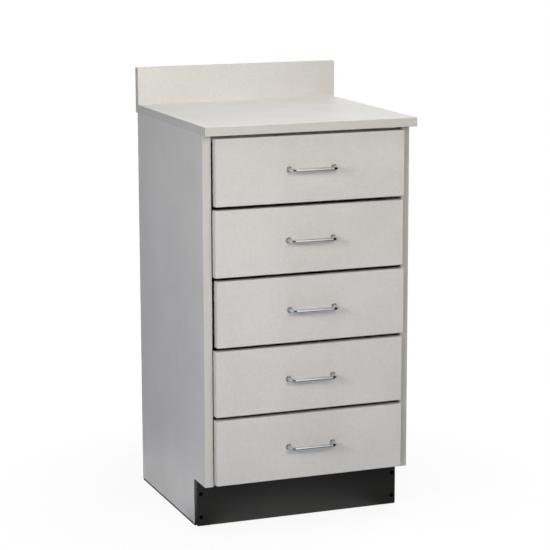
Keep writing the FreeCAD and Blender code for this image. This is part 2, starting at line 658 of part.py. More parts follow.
def pull():
    """A bent round rod with two flared feet, tapped from behind, its feet on the front's face."""
    body = doc.addObject("PartDesign::Body", "pull_body")
    half = ex("@pull_cc / 2")
    bar_y = ex("@pull_proj - @pull_r")
    bend_y = ex(f"{bar_y} - @pull_bend")
    bend_x = ex(f"{half} - @pull_bend")
    corners = [
        (f"(-{half})", "0"), (f"(-{half})", f"(-{bend_y})"),
        (f"(-{bend_x})", f"(-{bar_y})"), (bend_x, f"(-{bar_y})"),
        (half, f"(-{bend_y})"), (half, "0"),
    ]
    route = new_sketch(body, "pull_route", "XY_Plane")
    points = [flat_point(route, corner) for corner in corners]
    radius = float(route.evalExpression(ex("@pull_bend")))
    for start in (0, 2, 4):
        curve = route.addGeometry(Part.LineSegment(points[start], points[start + 1]))
        pin_point(route, curve, 1, *corners[start])
        pin_point(route, curve, 2, *corners[start + 1])
    centres = (points[1] + Vector(radius, 0, 0), points[4] - Vector(radius, 0, 0))
    for centre, turn, first, second in ((centres[0], 180, 0, 1), (centres[1], 270, 1, 2)):
        circle = Part.Circle(centre, Vector(0, 0, 1), radius)
        start_angle = FreeCAD.Units.Quantity(turn, "deg").getValueAs("rad").Value
        end_angle = FreeCAD.Units.Quantity(turn + 90, "deg").getValueAs("rad").Value
        bend = route.addGeometry(Part.ArcOfCircle(circle, start_angle, end_angle))
        route.addConstraint(Sketcher.Constraint("Coincident", bend, 1, first, 2))
        route.addConstraint(Sketcher.Constraint("Coincident", bend, 2, second, 1))
        index = route.addConstraint(Sketcher.Constraint("Radius", bend, radius))
        route.setExpression(f"Constraints[{index}]", ex("@pull_bend"))
    section = new_sketch(body, "pull_section", "XZ_Plane")
    rod_r = float(section.evalExpression(ex("@pull_r")))
    circle = Part.Circle(points[0], Vector(0, 0, 1), rod_r)
    ring = section.addGeometry(circle)
    pin_point(section, ring, 3, f"(-{half})", "0")
    index = section.addConstraint(Sketcher.Constraint("Radius", ring, rod_r))
    section.setExpression(f"Constraints[{index}]", ex("@pull_r"))
    pipe = body.newObject("PartDesign::AdditivePipe", "pull_rod")
    pipe.Profile = section
    pipe.Spine = route
    doc.recompute()
    for side, x in (("left", f"(-{half})"), ("right", half)):
        rim = body.newObject("PartDesign::AdditiveCylinder", f"pull_rim_{side}")
        place(bind(rim, Radius=ex("@foot_r"), Height=ex("@foot_rim")), (x, "0", "0"), TURNS["-y"])
        foot = body.newObject("PartDesign::AdditiveCone", f"pull_foot_{side}")
        bind(foot, Radius1=ex("@foot_r"), Radius2=ex("@pull_r"), Height=ex("@foot_len"))
        place(foot, (x, ex("-@foot_rim"), "0"), TURNS["-y"])
        bore = body.newObject("PartDesign::SubtractiveCylinder", f"pull_bore_{side}")
        bind(bore, Radius=ex("@pull_screw_r + @slack"), Height=ex("@pull_screw_in + @bore_end"))
        place(bore, (x, "0", "0"), TURNS["-y"])
    return place(body, ("0", FRONT_Y, PULL_Z))


PULL_SCREW_XS = (ex("-@pull_cc / 2"), ex("@pull_cc / 2"))
FRONT_SCREW_X = ex(f"{HALF_BOX} - @front_screw_set")
FRONT_SCREW_PLACES = [
    (x, z)
    for x in (f"-{FRONT_SCREW_X}", FRONT_SCREW_X)
    for z in (ex("@box_rise + @front_screw_edge"), ex(f"@box_rise + {BOX_H} - @front_screw_edge"))
]
PULL_SCREW_PLACES = [(x, PULL_Z) for x in PULL_SCREW_XS]


def drawer_front():
    size = (ex(f"2 * {HALF_FRONT}"), ex("@front_t"), FRONT_H)
    at = (f"-{HALF_FRONT}", FRONT_Y, "0")
    board = eased_board("front_board", at, size, around_front, "Fillet", ex("@front_round"))
    tools = []
    for index, (x, z) in enumerate(FRONT_SCREW_PLACES):
        seat = (x, BOX_Y, z)
        tools.append(hole(f"front_pilot_{index}", "-y", seat, ex("@front_screw_r"), ex("@front_screw_in")))
    for index, (x, z) in enumerate(PULL_SCREW_PLACES):
        seat = (x, BOX_Y, z)
        depth = ex("@front_t + @overrun")
        tools.append(hole(f"front_pull_{index}", "-y", seat, ex("@pull_screw_r"), depth))
    return cut("front_cut", board, tools)


def front_screws():
    """The washer-head screws that hold the front to the box, and those of the pull."""
    head = (ex("@washer_head_r"), ex("@washer_head_h"))
    screws = []
    for index, (x, z) in enumerate(FRONT_SCREW_PLACES):
        seat = (x, BOX_FRONT_BACK, z)
        length = ex("@box_t + @front_screw_in")
        screws.append(dome_screw(f"front_screw_{index}", "-y", seat, ex("@front_screw_r"), length, *head))
    for index, (x, z) in enumerate(PULL_SCREW_PLACES):
        seat = (x, BOX_FRONT_BACK, z)
        length = ex("@box_t + @front_t + @pull_screw_in")
        screws.append(dome_screw(f"pull_screw_{index}", "-y", seat, ex("@pull_screw_r"), length, *head))
    return screws


def box_side():
    """The left wall: grooved for the bottom, housed for the two ends, drilled for the slide."""
    inner_x = ex(f"-{HALF_BOX} + @box_t - @box_groove")
    deep = ex("@box_groove + @overrun")
    board = block("box_side_board", (f"-{HALF_BOX}", BOX_Y, ex("@box_rise")),
                  (ex("@box_t"), BOX_LEN, BOX_H))
    groove = block("box_side_groove", (inner_x, ex(f"{BOX_Y} - @overrun"), ex(f"{BOX_FLOOR_Z} - @slip")),
                   (deep, ex(f"{BOX_LEN} + 2 * @overrun"), ex("@box_floor_t + 2 * @slip")))
    front = block("box_side_rebate", (inner_x, ex(f"{BOX_Y} - @overrun"), ex("@box_rise - @overrun")),
                  (deep, ex("@box_t + @overrun"), ex(f"{BOX_H} + 2 * @overrun")))
    back = block("box_side_housing", (inner_x, BOX_BACK_Y, BOX_FLOOR_Z),
                 (deep, ex("@box_t"), ex(f"{BOX_H} + @overrun")))
    tools = [groove, front, back]
    for index, y in enumerate(SLIDE_SCREW_YS):
        at = (f"-{HALF_BOX}", y, SLIDE_Z)
        name = f"box_side_hole_{index}"
        tools.append(hole(name, "+x", at, ex("@slide_screw_r"), ex("@slide_screw_in")))
    return cut("box_side_left", board, tools)


def box_ends():
    """The front wall, with its groove and adjusting holes, and the back wall on the bottom."""
    front = wide_block("box_front_board", HALF_HOUSED, BOX_Y, ex("@box_rise"), ex("@box_t"), BOX_H)
    tools = [wide_block(
        "box_front_groove", ex(f"{HALF_HOUSED} + @overrun"), ex(f"{BOX_FRONT_BACK} - @box_groove"),
        ex(f"{BOX_FLOOR_Z} - @slip"), ex("@box_groove + @overrun"), ex("@box_floor_t + 2 * @slip"),
    )]
    for index, (x, z) in enumerate(FRONT_SCREW_PLACES + PULL_SCREW_PLACES):
        at = (x, BOX_FRONT_BACK, z)
        tools.append(hole(f"adjust_{index}", "-y", at, ex("@adjust_r"), ex("@box_t + @overrun")))
    rise = ex("@box_floor_rise + @box_floor_t + @slip")
    back = wide_block("box_back_board", HALF_HOUSED, BOX_BACK_Y, ex(f"@box_rise + {rise}"), ex("@box_t"),
                      ex(f"{BOX_H} - {rise}"))
    return group("box_ends", [cut("box_front_cut", front, tools), back])


def box_bottom():
    y = ex(f"{BOX_FRONT_BACK} - @box_groove + @slip")
    depth = ex(f"{BOX_BACK_Y} + @box_t - {y}")
    return wide_block("box_bottom", ex(f"{HALF_HOUSED} - @slip"), y, BOX_FLOOR_Z, depth, ex("@box_floor_t"))


def drawers(drawer_member, middle_member):
    """One set of pieces, copied to each drawer; a front takes its pull and its screws along."""
    left_wall = box_side()
    seat = ex(f"-{HALF_BOX} - @slide_steel")
    member_screws = group("drawer_screw_set", slide_screw_set("drawer_screw", seat, "+x"))
    with_box = {
        "box_side_left": left_wall,
        "box_side_right": mirrored("box_side_right", left_wall),
        "box_ends": box_ends(),
        "box_bottom": box_bottom(),
        "slide_members": both_sides("drawer_member", drawer_member),
    }
    with_front = {"front": drawer_front(), "pull": pull()}
    hung_screws = group("hung_screws", front_screws())
    slide_screws = both_sides("drawer_screws", member_screws)
    middle_pair = both_sides("middle", middle_member)
    for number in range(1, DRAWERS + 1):
        home = ("0", "0", drawer_z(number))
        hung = (ex(f"@shift_{number}"), "0", drawer_z(number))
        for name, master in with_box.items():
            keep(f"drawer_{number}_{name}", copy_at(f"drawer_{number}_{name}", master, home))
        for name, master in with_front.items():
            keep(f"drawer_{number}_{name}", copy_at(f"drawer_{number}_{name}", master, hung))
        screws = [
            copy_at(f"hung_screws_{number}", hung_screws, hung),
            copy_at(f"slide_screws_{number}", slide_screws, home),
        ]
        keep(f"drawer_{number}_screws", group(f"drawer_{number}_screws", screws))
        keep(f"slide_{number}_middle_members", copy_at(f"slide_{number}_middle", middle_pair, home))


side_panels()
floor_and_rails()
back_panel()
dowels()
worktop_and_backsplash()
kick_plate()
floor_strips()
outer_member, middle_member, drawer_member = slide_members()
fixed_slide_parts(outer_member)
drawers(drawer_member, middle_member)
doc.recompute()

# Nothing is written unless every object built and every sub-part is a sound solid
for obj in doc.Objects:
    if "Invalid" in obj.State or "Error" in obj.State:
        raise RuntimeError(f"{obj.Label}: {obj.State}")
for name, obj in nodes.items():
    if obj.Shape.isNull() or not obj.Shape.isValid() or not obj.Shape.Solids:
        raise RuntimeError(f"{name}: bad shape")

os.makedirs("parts", exist_ok=True)
for name, obj in nodes.items():
    obj.Shape.exportStep(f"parts/{name}.step")
print(len(nodes), "sub-parts")
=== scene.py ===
import math
from collections import namedtuple
import bmesh
import bpy
from mathutils import Matrix, Vector


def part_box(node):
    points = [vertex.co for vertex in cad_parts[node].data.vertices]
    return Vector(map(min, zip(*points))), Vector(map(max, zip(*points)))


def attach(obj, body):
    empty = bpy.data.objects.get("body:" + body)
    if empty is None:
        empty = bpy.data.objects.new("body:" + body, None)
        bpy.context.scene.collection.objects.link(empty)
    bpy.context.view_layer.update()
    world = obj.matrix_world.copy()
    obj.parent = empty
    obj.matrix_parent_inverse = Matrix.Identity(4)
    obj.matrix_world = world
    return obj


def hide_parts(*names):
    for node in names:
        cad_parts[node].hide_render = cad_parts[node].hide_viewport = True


# A floor-standing clinic base cabinet: grey laminated board, five drawers with bright wire pulls,
# a worktop with a backsplash, and a black kick plate set back under the lowest drawer.

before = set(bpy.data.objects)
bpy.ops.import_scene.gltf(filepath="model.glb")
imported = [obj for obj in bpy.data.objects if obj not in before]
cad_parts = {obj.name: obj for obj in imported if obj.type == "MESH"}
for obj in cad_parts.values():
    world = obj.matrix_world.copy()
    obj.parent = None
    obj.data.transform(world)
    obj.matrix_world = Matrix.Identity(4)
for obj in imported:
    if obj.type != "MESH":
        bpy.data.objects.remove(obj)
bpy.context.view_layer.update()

MM = 0.001
WELD = 0.001 * MM
QUARTER_TURN = math.pi / 2
DRAWERS = range(1, 6)

# Camera of the photograph, for a square picture 550 pixels wide
CAMERA_AT = Vector((-1.5991, -4.1974, 1.3906))
CAMERA_TURN = 20.885
CAMERA_DIP = 11.016
CAMERA_ROLL = 0.158
FOCAL_PX = 2055.1
PICTURE_PX = 550
SENSOR_MM = 36.0
CAMERA_REACH = 50.0

# Floor and world of the studio
PURE_WHITE = (1.0, 1.0, 1.0, 1.0)
FLOOR_HALF = 6.0
FLOOR_LIGHT = "#BBC2D4"
FLOOR_DARK = "#B7BED0"
SHADOW_SHARE = 0.11
SHADOW_NEAR = 0.35
SHADOW_FAR = 0.8
FILL_COLOUR = "#F2F6FF"
FILL_LEVEL = 0.03
LIT_POINT = Vector((0, -0.2, 0.6))

# Glowing sheets that only bright metal mirrors, painted reflections round it: colours, then degrees to the
# right of the cabinet's front
MIRRORED_CREAM = "#FFF6E6"
MIRRORED_FLOOR = "#B2B8C2"
MIRRORED_BACK = "#6E747C"
# Black sheets paint dark reflections in metal, where the studio has only the white backdrop
MIRRORED_BLACK = "#0D0E10"
# Dark sheet round the cabinet's foot: the floor's shade as metal mirrors it, a painted shadow
MIRRORED_FOOT_SHADE = "#3C3E42"
BEHIND_LEFT = (-170, -105)
LEFT = (-105, -6)
AHEAD = (-6, 28)
RIGHT = (28, 130)
LEFT_AND_AHEAD = (-105, 28)
# Where the cream sheet on the left glows: a painted highlight of the side lamp in metal
LEFT_HIGHLIGHT = (-98, -64)
FOOT_RING = (-90, 90)

# Their heights, their distances from the cabinet's middle, and how brightly they show
BEHIND_TOP = 3.6
BLACK_TOP = 8.0
LEFT_HIGHLIGHT_HEIGHTS = (0.4, 2.6)
LEFT_HIGHLIGHT_RADIUS = 3.9
FRONT_WALL_TOP = 2.3
FRONT_HIGHLIGHT_TOP = 3.8
WALL_RADIUS = 4.0
WALL_STEP = 6
# The cream sheets glow: above white they are painted highlights of the lamps, which mirrors don't see
WALL_GLOW = 1.05
HIGHLIGHT_GLOW = 1.5
BEHIND_PAPER_FROM = 0.6
PAPER_FROM = 0.5
FOOT_PAPER_FROM = 0.25
PAPER_RISE = 0.001

# How strongly each surface reflects
RESIN_IOR = 1.5
PVC_IOR = 1.53
WOOD_IOR = 1.45
OXIDE_IOR = 1.15

# Ranges of noise
FULL_RANGE = (0.0, 1.0)
CLOUD_RANGE = (0.3, 0.7)
MOTTLE_RANGE = (0.7, 1.3)

# Edges of boards: the radius, and the steps that it is drawn in
BAND_EDGE = (0.5 * MM, 2)
FRONT_EDGE = (1.6 * MM, 4)
TOP_EDGE = (0.8 * MM, 3)
KICK_EDGE = (1.0 * MM, 2)
RAIL_EDGE = (0.4 * MM, 2)
BACK_EDGE = (0.2 * MM, 1)
BOX_EDGE = (0.4 * MM, 2)
BOX_FLOOR_EDGE = (0.2 * MM, 2)
TOE_ROUND = 3.0 * MM
TOE_STEPS = 5

# Shading: a face of the default skin is smooth below this many times its edge radius squared
SMOOTH_AREA = 6400
SHARP_ANGLE = math.radians(35)
BROKEN_ANGLE = math.radians(40)
FLAT_ANGLE = math.radians(1)

# Pull
ROD_RADIUS = 4.0 * MM
ROD_BEND = 10.0 * MM
FOOT_RIM = 1.0 * MM
FOOT_TAPER = 5.0 * MM
RIM_ROUND = 0.25
FLARE_HOLLOW = 3.0
FLARE_STEPS = 8
BEND_STEPS = 12
ROD_SIDES = 32

# Screw sizes
SCREW_SIZES = (
    "Head radius", "Head height", "Shank radius", "Shank length", "Thread pitch", "Washer radius",
    "Washer height", "Recess length", "Recess width", "Recess depth",
)
WASHER_HEAD = 2.4 * MM
DOME_HEAD = 2.6 * MM
PAN_HEAD = 1.6 * MM
FLAT_HEAD = 2.6 * MM
WASHER_FROM = 5.5 * MM
DOME_FROM = 4.0 * MM
WASHER_BUTTON_SHARE = 0.62
WASHER_RIM = 0.9 * MM
PLAIN_RIM = 0.3 * MM
SHANK_RADIUS = 1.9 * MM
THREAD_PITCH = 1.8 * MM
NEAR_END = 0.9

# Screw form, as shares of a screw's own sizes
HEAD_RINGS = 9
HEAD_SIDES = 24
DOME_TURN = 0.97
DOME_POWER = 0.45
RIM_RINGS = 4
RIM_POWER = 3.0
SHANK_RINGS = 73
SHANK_SIDES = 12
TIP_END = 1.04
TIP_SLOPE = 6.0
CORE_SHARE = 0.76
RIDGE_SHARE = 0.48
RECESS_LONG = 1.1
RECESS_WIDE = 0.22
RECESS_DEEP = 0.55
FLAT_RECESS_WIDE = 0.24
FLAT_RECESS_DEEP = 1.2

# Slides
SLIDE_STEEL_THICK = 1.1 * MM
SLIDE_BEND = 1.6 * MM
ARC_STEPS = 4
BEAD_AT = 9.0 * MM
BEAD_HALF = 2.0 * MM
BEAD_RAMP = 1.0 * MM
BEAD_DEEP = 0.8 * MM
TIP_TURN = 1.6 * MM
TIP_DROP = 0.7 * MM
SLOT_LONG = 24.0 * MM
SLOT_HIGH = 6.5 * MM
SLOT_STEPS = 7
OUTER_SLOTS = (0.03, 0.24, 0.42, 0.66, 0.96)
MIDDLE_SLOTS = (0.06, 0.2, 0.34, 0.66, 0.8, 0.94)
INNER_SLOTS = (0.2, 0.35, 0.65, 0.8)


def linear(hex_colour):
    """An sRGB hex colour as the linear colour that a shader takes."""
    channels = [int(hex_colour[place:place + 2], 16) / 255 for place in (1, 3, 5)]
    return (*(c / 12.92 if c <= 0.04045 else ((c + 0.055) / 1.055) ** 2.4 for c in channels), 1.0)


def per_mm(size):
    """The scale of a pattern on Object coordinates whose features are this many mm apart."""
    return 1000 / size


# Nodes


def node(tree, kind, inputs=None, **settings):
    """Adds one node with its settings, and fills its inputs with values or links."""
    made = tree.nodes.new(kind)
    for name, value in settings.items():
        setattr(made, name, value)
    for socket, value in (inputs or {}).items():
        if isinstance(value, bpy.types.NodeSocket):
            tree.links.new(value, made.inputs[socket])
        else:
            made.inputs[socket].default_value = value
    return made


def maths(tree, operation, *values):
    """One step of arithmetic on numbers or links."""
    return node(tree, "ShaderNodeMath", dict(enumerate(values)), operation=operation).outputs[0]


def new_material(name):
    """An empty node material, and its tree."""
    material = bpy.data.materials.new(name)
    material.use_nodes = True
    material.node_tree.nodes.clear()
    return material, material.node_tree


def finish_material(material, shader):
    """Joins a material's last shader to its surface."""
    node(material.node_tree, "ShaderNodeOutputMaterial", {"Surface": shader.outputs[0]})
    return material


def surface(material, inputs):
    """Ends a material with one principled shader."""
    return finish_material(material, node(material.node_tree, "ShaderNodeBsdfPrincipled", inputs))


def object_place(tree, scale=None):
    """Object coordinates, scaled down along the axis that a pattern's lines follow."""
    place = node(tree, "ShaderNodeTexCoord").outputs["Object"]
    if scale is None:
        return place
    return node(tree, "ShaderNodeMapping", {"Vector": place, "Scale": scale}).outputs[0]


def noise(tree, place, size_mm, detail, **more):
    """A cloudy pattern whose features are this many mm apart."""
    inputs = {"Vector": place, "Scale": per_mm(size_mm), "Detail": detail, **more}
    return node(tree, "ShaderNodeTexNoise", inputs).outputs["Fac"]


def map_range(tree, value, source, target, **settings):
    """A value moved from one range to another."""
    ends = dict(zip(("From Min", "From Max", "To Min", "To Max"), (*source, *target)))
    return node(tree, "ShaderNodeMapRange", {"Value": value, **ends}, **settings).outputs[0]


def bump(tree, height, rise_mm, strength=1.0):
    """The normal of a surface whose pattern rises by this many mm."""
    inputs = {"Height": height, "Strength": strength, "Distance": rise_mm * MM}
    return node(tree, "ShaderNodeBump", inputs).outputs[0]


def mix_colours(tree, factor, first, second):
    """A colour between two others, by a factor."""
    inputs = {"Factor": factor, "A": first, "B": second}
    return node(tree, "ShaderNodeMix", inputs, data_type="RGBA").outputs["Result"]


def tint(tree, factor, light, dark):
    """A colour between two hex colours, by a factor."""
    return mix_colours(tree, factor, linear(light), linear(dark))


def seen_or_mirrored(tree):
    """1 for what the camera sees, straight or in a mirror, and 0 for the light that things take."""
    path = node(tree, "ShaderNodeLightPath").outputs
    seen = maths(tree, "MAXIMUM", path["Is Camera Ray"], path["Is Transmission Ray"])
    return maths(tree, "MAXIMUM", seen, path["Is Glossy Ray"])


# Materials


def melamine(name, light, dark, grain_mm, grain_rise_mm, roughness):
    """Melamine-faced board: printed paper under resin, pressed with a fine suede grain. The eye
    sees an even, slightly warm grey or white, a soft sheen and, close up, the grain. The grain is
    drawn several times coarser than the real 0.2 mm, so that it shows at all."""
    material, tree = new_material(name)
    place = object_place(tree)
    cloud = noise(tree, place, size_mm=140, detail=3.0)
    fleck = noise(tree, place, size_mm=4.8, detail=2.0)
    mottle = map_range(tree, maths(tree, "ADD", cloud, fleck), MOTTLE_RANGE, FULL_RANGE)
    grain = noise(tree, place, size_mm=grain_mm, detail=3.0, Roughness=0.6)
    return surface(material, {
        "Base Color": tint(tree, mottle, light, dark),
        "Roughness": map_range(tree, cloud, CLOUD_RANGE, (roughness - 0.03, roughness + 0.03)),
        "Normal": bump(tree, grain, grain_rise_mm),
        "IOR": RESIN_IOR,
    })


def pvc_band(name, light, dark, roughness):
    """PVC edge band, glued on and trimmed to a small radius: smoother than the board's face, with
    faint ripples and a slightly cleaner colour."""
    material, tree = new_material(name)
    place = object_place(tree)
    tone = noise(tree, place, size_mm=30, detail=2.0)
    ripple = noise(tree, place, size_mm=3, detail=1.0)
    return surface(material, {
        "Base Color": tint(tree, tone, light, dark),
        "Roughness": roughness,
        "Normal": bump(tree, ripple, rise_mm=0.02),
        "IOR": PVC_IOR,
    })


def chipboard():
    """Raw particle board edge: pale and dark wood chips two or three millimetres across, pressed
    flat and sanded, with small open pits between them."""
    material, tree = new_material("raw particle board edge")
    place = object_place(tree)
    chips = node(tree, "ShaderNodeTexVoronoi", {"Vector": place, "Scale": per_mm(2.4), "Randomness": 1.0})
    shade = node(tree, "ShaderNodeSeparateColor", {"Color": chips.outputs["Color"]})
    pits = noise(tree, place, size_mm=1.2, detail=2.0)
    depth = maths(tree, "ADD", chips.outputs["Distance"], pits)
    return surface(material, {
        "Base Color": tint(tree, shade.outputs["Red"], "#C7A97C", "#9C7B50"),
        "Roughness": 0.85,
        "Normal": bump(tree, depth, rise_mm=0.25, strength=0.8),
        "IOR": WOOD_IOR,
    })


def kick_laminate():
    """Black laminated board: a satin face with a fine grain, which catches broad dull highlights."""
    material, tree = new_material("black laminate")
    place = object_place(tree)
    cloud = noise(tree, place, size_mm=90, detail=4.0)
    grain = noise(tree, place, size_mm=1.1, detail=2.0)
    return surface(material, {
        "Base Color": tint(tree, cloud, "#242320", "#1E1D1E"),
        "Roughness": map_range(tree, cloud, CLOUD_RANGE, (0.42, 0.52)),
        "Normal": bump(tree, grain, rise_mm=0.05),
        "IOR": RESIN_IOR,
    })


def chromium(name, light, dark, haze_mm, roughness):
    """Chromium plate, a little hazier in some places than in others. The range of its roughness
    says whether the steel under it was polished or left satin."""
    material, tree = new_material(name)
    haze = noise(tree, object_place(tree), size_mm=haze_mm, detail=3.0)
    return surface(material, {
        "Base Color": tint(tree, haze, light, dark),
        "Metallic": 1.0,
        "Roughness": map_range(tree, haze, FULL_RANGE, roughness),
    })


def zinc_steel(name, light, dark, roughness):
    """Cold-rolled steel under bright zinc: grey metal with a faint blue-yellow passivation cloud
    and fine rolling lines along the strip."""
    material, tree = new_material(name)
    lines = noise(tree, object_place(tree, scale=(1.0, 0.04, 1.0)), size_mm=0.8, detail=2.0)
    cloud = noise(tree, object_place(tree), size_mm=25, detail=3.0)
    return surface(material, {
        "Base Color": tint(tree, cloud, light, dark),
        "Metallic": 1.0,
        "Roughness": map_range(tree, cloud, FULL_RANGE, (roughness - 0.05, roughness + 0.07)),
        "Normal": bump(tree, lines, rise_mm=0.03, strength=0.6),
    })


def black_oxide():
    """Black-oxide screw steel: almost black, with a weak and soft highlight on its dome."""
    material, tree = new_material("black oxide steel")
    cloud = noise(tree, object_place(tree), size_mm=3, detail=2.0)
    return surface(material, {
        "Base Color": tint(tree, cloud, "#040404", "#020202"),
        "Roughness": 0.3,
        "IOR": OXIDE_IOR,
    })


def extruded_pvc():
    """Black PVC strip: dull, with faint extrusion lines along it."""
    material, tree = new_material("black extruded PVC")
    lines = noise(tree, object_place(tree, scale=(1.0, 0.02, 1.0)), size_mm=0.9, detail=1.0)
    return surface(material, {
        "Base Color": tint(tree, lines, "#101012", "#0A0A0B"),
        "Roughness": 0.6,
        "Normal": bump(tree, lines, rise_mm=0.05),
        "IOR": PVC_IOR,
    })


def beech():
    """Turned beech dowel: pale pinkish wood with short dark flecks along the grain."""
    material, tree = new_material("turned beech")
    fleck = noise(tree, object_place(tree, scale=(0.12, 1.0, 1.0)), size_mm=0.9, detail=2.0)
    return surface(material, {
        "Base Color": tint(tree, fleck, "#D5B48C", "#B98F62"),
        "Roughness": 0.6,
        "IOR": WOOD_IOR,
    })


FACE = melamine("grey melamine face", "#CDCBC6", "#C3C1BC", 1.3, 0.03, 0.45)
TOP = melamine("grey laminate worktop", "#CECDC8", "#C3C1BC", 1.1, 0.025, 0.38)
WHITE = melamine("white melamine face", "#DEDDD9", "#D8D7D2", 1.2, 0.03, 0.38)
# Drawn a little darker and greyer than the grey face
BAND = pvc_band("grey PVC edge band", "#C1C0BA", "#BBB9B2", 0.34)
BLACK_BAND = pvc_band("black PVC edge band", "#1A191A", "#151415", 0.55)
WHITE_BAND = pvc_band("white PVC edge band", "#DFDEDA", "#D7D6D1", 0.32)
RAW = chipboard()
KICK = kick_laminate()
CHROME = chromium("polished chromium plate", "#DCDEE0", "#D4D7DA", 8, (0.05, 0.10))
# The feet: rougher chromium, drawn darker than the rod's as painted shade round the feet
SHADED_FOOT_CHROME = chromium("satin chromium plate", "#B2B6BA", "#A6AAAE", 1.2, (0.18, 0.26))
SLIDE_STEEL = zinc_steel("bright zinc slide steel", "#B9BDC0", "#AEB0AE", 0.3)
SCREW_STEEL = zinc_steel("bright zinc screw steel", "#C3C5C4", "#B4B4AC", 0.26)
BLACK_STEEL = black_oxide()
STRIP = extruded_pvc()
BEECH = beech()


# Building blocks


def in_scene(name, data):
    """A new object in the scene."""
    made = bpy.data.objects.new(name, data)
    bpy.context.scene.collection.objects.link(made)
    return made


def evaluated_mesh(holder):
    """A new mesh of an object as its modifiers leave it."""
    ready = holder.evaluated_get(bpy.context.evaluated_depsgraph_get())
    return bpy.data.meshes.new_from_object(ready)


def discard(holder):
    """Takes a helper object and its mesh out again."""
    mesh = holder.data
    bpy.data.objects.remove(holder)
    bpy.data.meshes.remove(mesh)


def merged_copy(cad_node):
    """A CAD node's mesh, with the points that lie on each other merged."""
    merged = bmesh.new()
    merged.from_mesh(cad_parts[cad_node].data)
    bmesh.ops.remove_doubles(merged, verts=merged.verts, dist=WELD)
    return merged


def box_of(points):
    """The lowest and the highest corner of the box round some points."""
    low = Vector(min(point[axis] for point in points) for axis in range(3))
    high = Vector(max(point[axis] for point in points) for axis in range(3))
    return low, high


def axis_of(normal):
    """The frame direction nearest to a normal, such as -y."""
    index = max(range(3), key=lambda place: abs(normal[place]))
    return ("+" if normal[index] > 0 else "-") + "xyz"[index]


def to_object(name, mesh_data, materials, body, replaced):
    """Puts a finished mesh in the scene as a piece that rides on a body."""
    mesh = bpy.data.meshes.new(name)
    mesh_data.to_mesh(mesh)
    mesh_data.free()
    for material in materials:
        mesh.materials.append(material)
    piece = in_scene(name, mesh)
    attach(piece, body)
    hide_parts(*replaced)
    return piece


def skin(mesh_data, skins, default):
    """Gives each face of a mesh the material of the side that it looks to, and lists them."""
    materials = list(dict.fromkeys([default, *skins.values()]))
    for face in mesh_data.faces:
        face.material_index = materials.index(skins.get(axis_of(face.normal), default))
    return materials


def sharp_edges(mesh_data):
    """The edges that separate faces at a clear angle."""
    return [edge for edge in mesh_data.edges if edge.calc_face_angle(0) > SHARP_ANGLE]


def smooth_with_sharp_edges(mesh_data):
    """Shades a mesh smooth, except across its sharp edges."""
    for face in mesh_data.faces:
        face.smooth = True
    for edge in sharp_edges(mesh_data):
        edge.smooth = False


def tube(rings):
    """A closed body between rings of points, with a cap on the first ring and on the last."""
    built = bmesh.new()
    add_tube(built, rings)
    bmesh.ops.recalc_face_normals(built, faces=built.faces)
    return built


def add_tube(mesh_data, rings):
    """Adds the faces between rings of points, and a cap on the first ring and on the last."""
    loops = [[mesh_data.verts.new(point) for point in ring] for ring in rings]
    for first, second in zip(loops, loops[1:]):
        for step in range(len(first)):
            after = (step + 1) % len(first)
            mesh_data.faces.new((first[step], first[after], second[after], second[step]))
    mesh_data.faces.new(loops[0])
    mesh_data.faces.new(loops[-1])


def prism(name, outline, axis, span, skins, default, edge, replaced, body="cabinet"):
    """A board cut to an outline, between two levels of an axis. The outline's points are the two
    other coordinates, in X, Y, Z order. The rounded edges take the default skin."""
    rounding, steps = edge
    index = "xyz".index(axis)
    built = tube([[(*point[:index], level, *point[index:]) for point in outline] for level in span])
    materials = skin(built, skins, default)
    bmesh.ops.bevel(
        built, geom=sharp_edges(built), offset=rounding, segments=steps, profile=0.5,
        affect="EDGES", clamp_overlap=True, material=0,
    )
    for face in built.faces:
        face.smooth = face.material_index == 0 and face.calc_area() < SMOOTH_AREA * rounding ** 2
    return to_object(name, built, materials, body, replaced)


def board(name, cad_node, skins, default, edge, body="cabinet"):
    """A rectangular board in the place of a CAD board."""
    low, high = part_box(cad_node)
    outline = [(low.x, low.y), (high.x, low.y), (high.x, high.y), (low.x, high.y)]
    return prism(name, outline, "z", (low.z, high.z), skins, default, edge, [cad_node], body)


def dressed_copy(name, cad_node, skins, default, edge, body):
    """A CAD board with its own cuts and grooves, skinned by side and with its edges just broken."""
    built = merged_copy(cad_node)
    bmesh.ops.dissolve_limit(
        built, angle_limit=FLAT_ANGLE, verts=built.verts, edges=built.edges, delimit={"NORMAL"},
    )
    materials = skin(built, skins, default)
    piece = to_object(name, built, materials, body, [cad_node])
    bevel = piece.modifiers.new("broken edges", "BEVEL")
    bevel.width, bevel.segments = edge
    bevel.limit_method = "ANGLE"
    bevel.angle_limit = BROKEN_ANGLE


def cut_away(mesh_data, cutter_data, materials):
    """The first mesh less the second, as a new mesh with the materials. Both are used up."""
    holders = []
    for name, data in (("blank", mesh_data), ("cutter", cutter_data)):
        mesh = bpy.data.meshes.new(name)
        data.to_mesh(mesh)
        data.free()
        for material in materials:
            mesh.materials.append(material)
        holders.append(in_scene(name, mesh))
    blank, cutter = holders
    cut = blank.modifiers.new("cut", "BOOLEAN")
    cut.operation = "DIFFERENCE"
    cut.solver = "EXACT"
    cut.use_self = True
    cut.object = cutter
    result = evaluated_mesh(blank)
    for holder in holders:
        discard(holder)
    return result


# Carcass


def side_panels():
    """Melamine on both faces, banded in front, raw behind, above and below."""
    notch_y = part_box("kick_plate")[1].y
    notch_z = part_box("bottom_panel")[0].z
    skins = {"+x": FACE, "-x": FACE, "+y": RAW, "-z": RAW, "+z": RAW}
    for side in ("left", "right"):
        cad_node = f"side_panel_{side}"
        low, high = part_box(cad_node)
        outline = [
            (low.y, notch_z), (notch_y, notch_z), (notch_y, low.z),
            (high.y, low.z), (high.y, high.z), (low.y, high.z),
        ]
        prism(f"{side}_side", outline, "x", (low.x, high.x), skins, BAND, BAND_EDGE,
              [cad_node])


